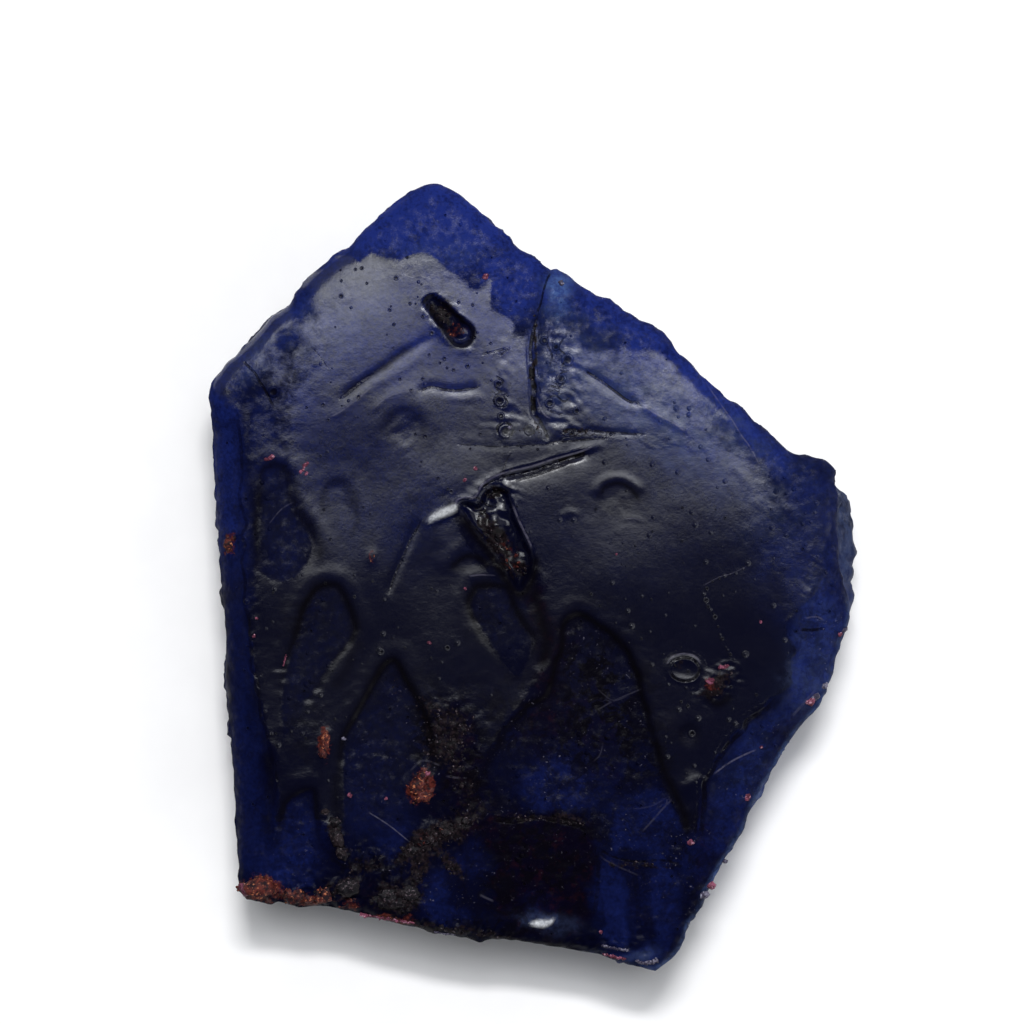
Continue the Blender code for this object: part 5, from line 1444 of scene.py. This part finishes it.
def turned_place(centre_x, centre_y, turn, along, across):
    """The x and y of places this far along and across an oval that is turned by some degrees."""
    angle = np.radians(turn)
    return (centre_x + along * np.cos(angle) - across * np.sin(angle),
            centre_y + along * np.sin(angle) + across * np.cos(angle))


def blister_marks():
    """Every bubble as x, y, radius, rise and openness: the listed ones, and seeded ones all over the top."""
    random = np.random.default_rng(SEED + 60)
    rows = [(*place, BUMP_RADIUS * random.uniform(0.8, 1.2), 1.2 * BUMP_HEIGHT, 0) for place in SMALL_BUMPS]
    rows += [(*place, BUMP_RADIUS * random.uniform(0.6, 1.0), 0.3 * BUMP_HEIGHT, 1) for place in SMALL_PITS]
    rows += [(*ring, 0.7 * BUMP_HEIGHT, 1) for ring in OPEN_RINGS]
    for place in curve_through(BUBBLE_CHAIN)[::2]:
        place = place + random.uniform(-0.12, 0.12, 2)
        rows.append((*place, random.uniform(0.08, 0.18), 0.8 * BUMP_HEIGHT, random.choice([0, 1])))
    for _ in range(SCATTERED_BUMPS):
        place = random.uniform((-24, -29), (24, 29))
        radius = BUMP_RADIUS * random.uniform(0.35, 0.7)
        rows.append((*place, radius, 0.7 * BUMP_HEIGHT, random.choice([0, 0, 1])))
    rows = np.array(rows)
    return rows[inside_distance(rows[:, 0], rows[:, 1], RIM_LOOP) > BARE_OF_BLISTERS]


def blisters(shape):
    """Small round bubbles that follow the top: a dome, or a raised rim with a middle darkened by painted
    shade where one has burst. Each is a turned profile: its height over the top depends on the distance from
    its middle."""
    marks = blister_marks()
    angle = np.arange(BLISTER_SECTORS) / BLISTER_SECTORS * 2 * np.pi
    reach = np.concatenate([[0.0], np.repeat(BLISTER_RINGS[1:], BLISTER_SECTORS), [0.0]])
    turn = np.concatenate([[0.0], np.tile(angle, len(BLISTER_RINGS) - 1), [0.0]])
    x = marks[:, :1] + marks[:, 2:3] * reach * np.cos(turn)
    y = marks[:, 1:2] + marks[:, 2:3] * reach * np.sin(turn)
    dome, rim = np.clip(1 - reach**2, 0, None), np.exp(-(((reach - 0.8) / 0.2) ** 2))
    rise = marks[:, 3:4] * np.where(marks[:, 4:] > 0, rim, dome)
    x, y = x.ravel(), y.ravel()
    cover = skin_cover(x, y)
    sunk = np.where(reach > 1.1, BLISTER_FOOT, 0.0)
    sunk[-1] = BLISTER_BASE
    height = top_height(x, y, shape, cover) + (rise - sunk + BLISTER_LIFT).ravel()
    last = len(reach) - 1
    around = 1 + np.arange(last - 1).reshape(-1, BLISTER_SECTORS)
    sides = ring_faces(around[:-1], around[1:])
    top = np.stack([np.zeros(BLISTER_SECTORS, int), around[0], np.roll(around[0], -1)], 1)
    bottom = np.stack([np.full(BLISTER_SECTORS, last), np.roll(around[-1], -1), around[-1]], 1)
    faces = [face for part in (top, sides, bottom) for face in copies(part, len(reach), len(marks))]
    points = np.stack([x, y, height], 1)
    masks = stone_masks(points, cover, np.ones(len(points), bool))
    # painted shade in the middle of each burst bubble
    middle = (marks[:, 4:] * (step(0.75, 0.4, reach) * 0.9)).ravel()
    masks["shade"] = np.maximum(masks["shade"], middle)
    return points, faces, masks


def grain_ball(levels):
    """A ball from an eight-sided one: at each level every side is cut in four and the new points go out to
    the sphere. Two levels give 66 points and 128 faces."""
    corners = ((1, 0, 0), (0, 1, 0), (-1, 0, 0), (0, -1, 0), (0, 0, 1), (0, 0, -1))
    points = [np.array(corner, float) for corner in corners]
    sides = [(0, 1, 4), (1, 2, 4), (2, 3, 4), (3, 0, 4), (1, 0, 5), (2, 1, 5), (3, 2, 5), (0, 3, 5)]
    for _ in range(levels):
        middles, finer = {}, []
        for side in sides:
            inner = []
            for a, b in zip(side, side[1:] + side[:1]):
                key = (min(a, b), max(a, b))
                if key not in middles:
                    middle = points[a] + points[b]
                    middles[key] = len(points)
                    points.append(middle / np.linalg.norm(middle))
                inner.append(middles[key])
            a, b, c = inner
            finer += [(side[0], a, c), (a, side[1], b), (c, b, side[2]), (a, b, c)]
        sides = finer
    return np.array(points), np.array(sides)


def turned(count, random):
    """Random rotations, each from three random numbers as a unit quaternion."""
    a, b, c = random.random((3, count))
    w, p = np.sqrt(1 - a) * np.sin(2 * np.pi * b), np.sqrt(1 - a) * np.cos(2 * np.pi * b)
    q, r = np.sqrt(a) * np.sin(2 * np.pi * c), np.sqrt(a) * np.cos(2 * np.pi * c)
    rows = (
        (1 - 2 * (q * q + r * r), 2 * (p * q - r * w), 2 * (p * r + q * w)),
        (2 * (p * q + r * w), 1 - 2 * (p * p + r * r), 2 * (q * r - p * w)),
        (2 * (p * r - q * w), 2 * (q * r + p * w), 1 - 2 * (p * p + q * q)),
    )
    return np.moveaxis(np.array([np.stack(row) for row in rows]), 2, 0)


def grains(places, radii, sunk, shape, seed):
    """Knobbly balls of these radii at these places, sunk into the top by a share of their radii. Each has one
    tone."""
    random = np.random.default_rng(seed)
    ball, sides = grain_ball(1)
    count = len(places)
    knobs = 1 + 0.28 * (random.random((count, len(ball), 1)) - 0.5) * 2
    stretch = random.uniform(0.65, 1.25, (count, 1, 3))
    local = np.einsum("nij,nkj->nki", turned(count, random), ball[None] * knobs * stretch)
    local = local * radii[:, None, None]
    x, y = places[:, 0], places[:, 1]
    height = top_height(x, y, shape, skin_cover(x, y))
    centres = np.stack([x, y, height - sunk * radii], 1)
    points = (local * GRAIN_SQUASH + centres[:, None]).reshape(-1, 3)
    tone = np.repeat(random.random(count) ** 2, len(ball))
    return points, copies(sides, len(ball), count), {"tone": tone}


def crust_lumps(rusty, shape):
    """The larger lumps of one kind: balls stretched to their ovals, with layered noise for their knobs."""
    lumps = np.array([lump[:-1] for lump in CRUST_LUMPS if lump[-1] == rusty])
    ball, sides = grain_ball(3)
    seeds = 10 * np.arange(len(lumps))[:, None]
    knobs = 1 + 0.3 * layered_noise(2 * ball[:, 0] + seeds, 2 * ball[:, 1] + ball[:, 2], 0.9, SEED + 230, 4)
    along, across = (knobs * ball[:, k] * lumps[:, k + 2 : k + 3] for k in (0, 1))
    x, y = turned_place(lumps[:, :1], lumps[:, 1:2], lumps[:, 4:5], along, across)
    ground = top_height(lumps[:, 0], lumps[:, 1], shape, skin_cover(lumps[:, 0], lumps[:, 1]))[:, None]
    z = ground + lumps[:, 5:6] * (knobs * ball[:, 2] - 0.15)
    points = np.stack([x.ravel(), y.ravel(), z.ravel()], 1)
    return points, copies(sides, len(ball), len(lumps)), {"tone": np.repeat(lumps[:, 6], len(ball))}


def scattered(ovals, per_mm2, seed):
    """Random places in each oval, even over it but for a ragged border."""
    random = np.random.default_rng(seed)
    batches = []
    for centre_x, centre_y, half_length, half_width, turn, amount in ovals:
        count = max(1, int(per_mm2 * amount * math.pi * half_length * half_width))
        reach = np.sqrt(random.random(count)) * random.uniform(0.8, 1.15, count)
        way = random.uniform(0, 2 * math.pi, count)
        along, across = reach * half_length * np.cos(way), reach * half_width * np.sin(way)
        batches.append(np.stack(turned_place(centre_x, centre_y, turn, along, across), 1))
    places = np.vstack(batches)
    return places[inside_distance(places[:, 0], places[:, 1], RIM_LOOP) > BARE_OF_GRAINS]


def speck_grains(specks, seed):
    """Places and radii of the grains of small specks: a row of them along each, about half its width big."""
    random = np.random.default_rng(seed)
    batches = []
    for centre_x, centre_y, half_length, half_width, turn in specks:
        count = 2 + int(2.2 * half_length / half_width)
        along = np.linspace(-1, 1, count) * max(half_length - half_width, 0.3 * half_width)
        across = random.uniform(-0.4, 0.4, count) * half_width
        places = turned_place(centre_x, centre_y, turn, along, across)
        batches.append(np.stack([*places, half_width * random.uniform(0.7, 1.1, count)], 1))
    rows = np.vstack(batches)
    return rows[:, :2], rows[:, 2]


# ----------------------------------------
# The stage.

FLOOR_HEIGHT = -0.00002
VIEW_CENTRE = (-0.00164, 0.005)
SENSOR_WIDTH = 36.0
KEY_PLACE = (0.03, 0.45, 0.83)
KEY_SIZES = (0.28, 0.08)
GLINT_PLACE = (0.0, 0.35, 0.83)
GLINT_SIZES = (0.14, 0.14)
PAPER_TONES = ((0.87, 0.865, 0.87), (0.9, 0.895, 0.9))
SKY_COLOUR = (0.955, 0.975, 1.0, 1.0)
CAMERA_DROP = 0.0007


def add_object(name, data, place=(0, 0, 0), way=None):
    """Links an object of this data, turned so that its own -Z points along a direction if one is given."""
    thing = bpy.data.objects.new(name, data)
    thing.location = place
    if way is not None:
        thing.rotation_euler = Vector(way).to_track_quat("-Z", "Y").to_euler()
    bpy.context.scene.collection.objects.link(thing)
    return thing


def soft_light(name, place, target, size, power):
    """A rectangular area light of this size at a place, turned towards a target."""
    data = bpy.data.lights.new(name, "AREA")
    data.shape = "RECTANGLE"
    data.size, data.size_y = size
    data.energy = power
    return add_object(name, data, place, [b - a for a, b in zip(place, target)])


def sky(settings):
    """Surroundings lit by direction: dim overhead, rising smoothly towards the pointed end, where they are
    brightest high up, with a low glow from the right. North is the pointed end."""
    world = bpy.data.worlds.new("studio")
    n = Nodes(world, "Generated")
    parts = n.add("ShaderNodeSeparateXYZ")
    n.feed(parts.inputs[0], n.place)
    east, north, up = parts.outputs
    around = n.most(n.times(n.ramp(up, 0.9, 0.5), n.ramp(east, -0.3, 0.6, 0.12, 1.1)), 0.02)
    sides = n.ramp(n.math("ABSOLUTE", east), 0.7, 0.25, 0.5, 1.0)
    window = n.times(n.ramp(north, 0.02, 0.22), sides)
    panel = n.times(n.ramp(north, 0.2, 0.3, 3.4, 5.6), n.ramp(up, 0.82, 0.93, 0.08, 1.0))
    strength = n.times(n.blend(window, around, panel), settings.sky_strength)
    background = n.tree.nodes["Background"]
    n.feed(background.inputs["Strength"], strength)
    background.inputs["Color"].default_value = SKY_COLOUR
    bpy.context.scene.world = world


def white_floor(size):
    """A square sheet of slightly uneven white paper."""
    half = size / 2
    mesh = bpy.data.meshes.new("floor")
    corners = [(-half, -half, 0), (half, -half, 0), (half, half, 0), (-half, half, 0)]
    mesh.from_pydata(corners, [], [(0, 1, 2, 3)])
    material, n, shader = new_material("white_paper")
    n.feed(shader.inputs["Base Color"], n.mix(n.ramp(n.grain(9.0, 3.0), 0.3, 0.7), *PAPER_TONES))
    shader.inputs["Roughness"].default_value = 0.9
    shader.inputs["Specular IOR Level"].default_value = 0.1
    mesh.materials.append(material)
    floor = add_object("floor", mesh, (0, 0, FLOOR_HEIGHT))


def straight_down_camera(settings):
    """A camera that looks straight down, with a lens that makes the view about this wide at the rim."""
    data = bpy.data.cameras.new("camera")
    data.sensor_width = SENSOR_WIDTH
    data.lens = SENSOR_WIDTH * settings.camera_height / settings.view_width
    data.clip_start, data.clip_end = 0.01, 10.0
    height = settings.camera_height + CAD_BOUNDS[1][2] - CAMERA_DROP
    bpy.context.scene.camera = add_object("camera", data, (*VIEW_CENTRE, height))


# ----------------------------------------
# Operators, panel and registration.


class SAPPHIRE_OT_stone(bpy.types.Operator):
    """Build the stone: its skin, windows, ledges, cracks, broken wall and underside"""

    bl_idname = "sapphire.stone"
    bl_label = "Stone"

    def execute(self, context):
        shape = context.scene.sapphire_shape
        points, faces, cover = stone_surface(shape)
        on_top = np.arange(len(points)) < len(cover)
        cover = np.concatenate([cover, np.zeros(len(points) - len(cover))])
        material = sapphire_material(context.scene.sapphire_finish)
        piece = new_piece("sapphire_stone", points, faces, stone_masks(points, cover, on_top), material)
        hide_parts(STONE_NODE)
        new_piece("skin_bubbles", *blisters(shape), material)
        return {"FINISHED"}


class SAPPHIRE_OT_crust(bpy.types.Operator):
    """Grow the crust's grains and lumps on the stone: rust, olive grit, rose specks and pale crystals"""

    bl_idname = "sapphire.crust"
    bl_label = "Crust grains"

    def execute(self, context):
        shape, finish = context.scene.sapphire_shape, context.scene.sapphire_finish
        kinds = (
            # name, places, grains to a square millimetre, smallest and largest radius,
            # and its middle, dark and light colours and its gloss
            ("rust_grains", RUST_SPOTS, 7, (0.08, 0.24),
             (finish.rust, (0.010, 0.004, 0.007), (0.44, 0.15, 0.07), 0.25)),
            ("grit_grains", GRIT_SPOTS, 9, (0.05, 0.22),
             (finish.grit, (0.0018, 0.0012, 0.0032), (0.1, 0.075, 0.09), 0.3)),
            ("rose_grains", ROSE_SPECKS, 0, None,
             (finish.rose, (0.07, 0.016, 0.03), (0.5, 0.28, 0.36), 0.2)),
            ("pale_grains", PALE_SPECKS, 0, None,
             (finish.pale, (0.03, 0.025, 0.05), (0.3, 0.3, 0.38), 0.3)),
        )
        for number, (name, ovals, per_mm2, sizes, looks) in enumerate(kinds):
            material = grain_material(name, *looks)
            if sizes:
                places = scattered(ovals, per_mm2, SEED + 201 + number)
                share = np.random.default_rng(SEED + 205 + number).random(len(places))
                radii = sizes[0] + (sizes[1] - sizes[0]) * share**2
                new_piece(name.replace("grains", "lumps"), *crust_lumps(1 - number, shape), material)
            else:
                places, radii = speck_grains(ovals, SEED + 203 + number)
            sunk = GRAIN_SUNK if sizes else SPECK_SUNK
            new_piece(name, *grains(places, radii, sunk, shape, SEED + 210 + number), material)
        return {"FINISHED"}


class SAPPHIRE_OT_stage(bpy.types.Operator):
    """Lay the white floor and set up the lights, the surroundings and the camera"""

    bl_idname = "sapphire.stage"
    bl_label = "Stage"

    def execute(self, context):
        settings = context.scene.sapphire_stage
        white_floor(settings.floor_size)
        straight_down_camera(settings)
        sky(settings)
        key = soft_light("key_light", KEY_PLACE, (0.0, 0.0, 0.0), KEY_SIZES, settings.key_power)
        key.visible_glossy = False
        soft_light("glint_light", GLINT_PLACE, (0.0, 0.0, 0.0), GLINT_SIZES, settings.glint_power)
        context.scene.view_settings.view_transform = "Standard"
        return {"FINISHED"}


class SAPPHIRE_PT_panel(bpy.types.Panel):
    """Sizes, colours and the building steps"""

    bl_idname = "SAPPHIRE_PT_panel"
    bl_label = "Rough sapphire"
    bl_space_type = "VIEW_3D"
    bl_region_type = "UI"
    bl_category = "Sapphire"

    def draw(self, context):
        for title, settings, steps in (
            ("Stone", context.scene.sapphire_shape, ("sapphire.stone",)),
            ("Finish", context.scene.sapphire_finish, ("sapphire.crust",)),
            ("Stage", context.scene.sapphire_stage, ("sapphire.stage",)),
        ):
            box = self.layout.box()
            box.label(text=title)
            for name in settings.bl_rna.properties.keys():
                if name not in ("rna_type", "name"):
                    box.prop(settings, name)
            for step_name in steps:
                box.operator(step_name)


SETTINGS = {"sapphire_shape": StoneShape, "sapphire_finish": StoneFinish, "sapphire_stage": StageSettings}
CLASSES = (*SETTINGS.values(), SAPPHIRE_OT_stone, SAPPHIRE_OT_crust, SAPPHIRE_OT_stage, SAPPHIRE_PT_panel)


def register():
    for kind in CLASSES:
        bpy.utils.register_class(kind)
    for name, kind in SETTINGS.items():
        setattr(bpy.types.Scene, name, bpy.props.PointerProperty(type=kind))


def unregister():
    for name in SETTINGS:
        delattr(bpy.types.Scene, name)
    for kind in reversed(CLASSES):
        bpy.utils.unregister_class(kind)


def main():
    register()
    bpy.ops.sapphire.stone()
    bpy.ops.sapphire.crust()
    bpy.ops.sapphire.stage()


if __name__ == "__main__":
    main()
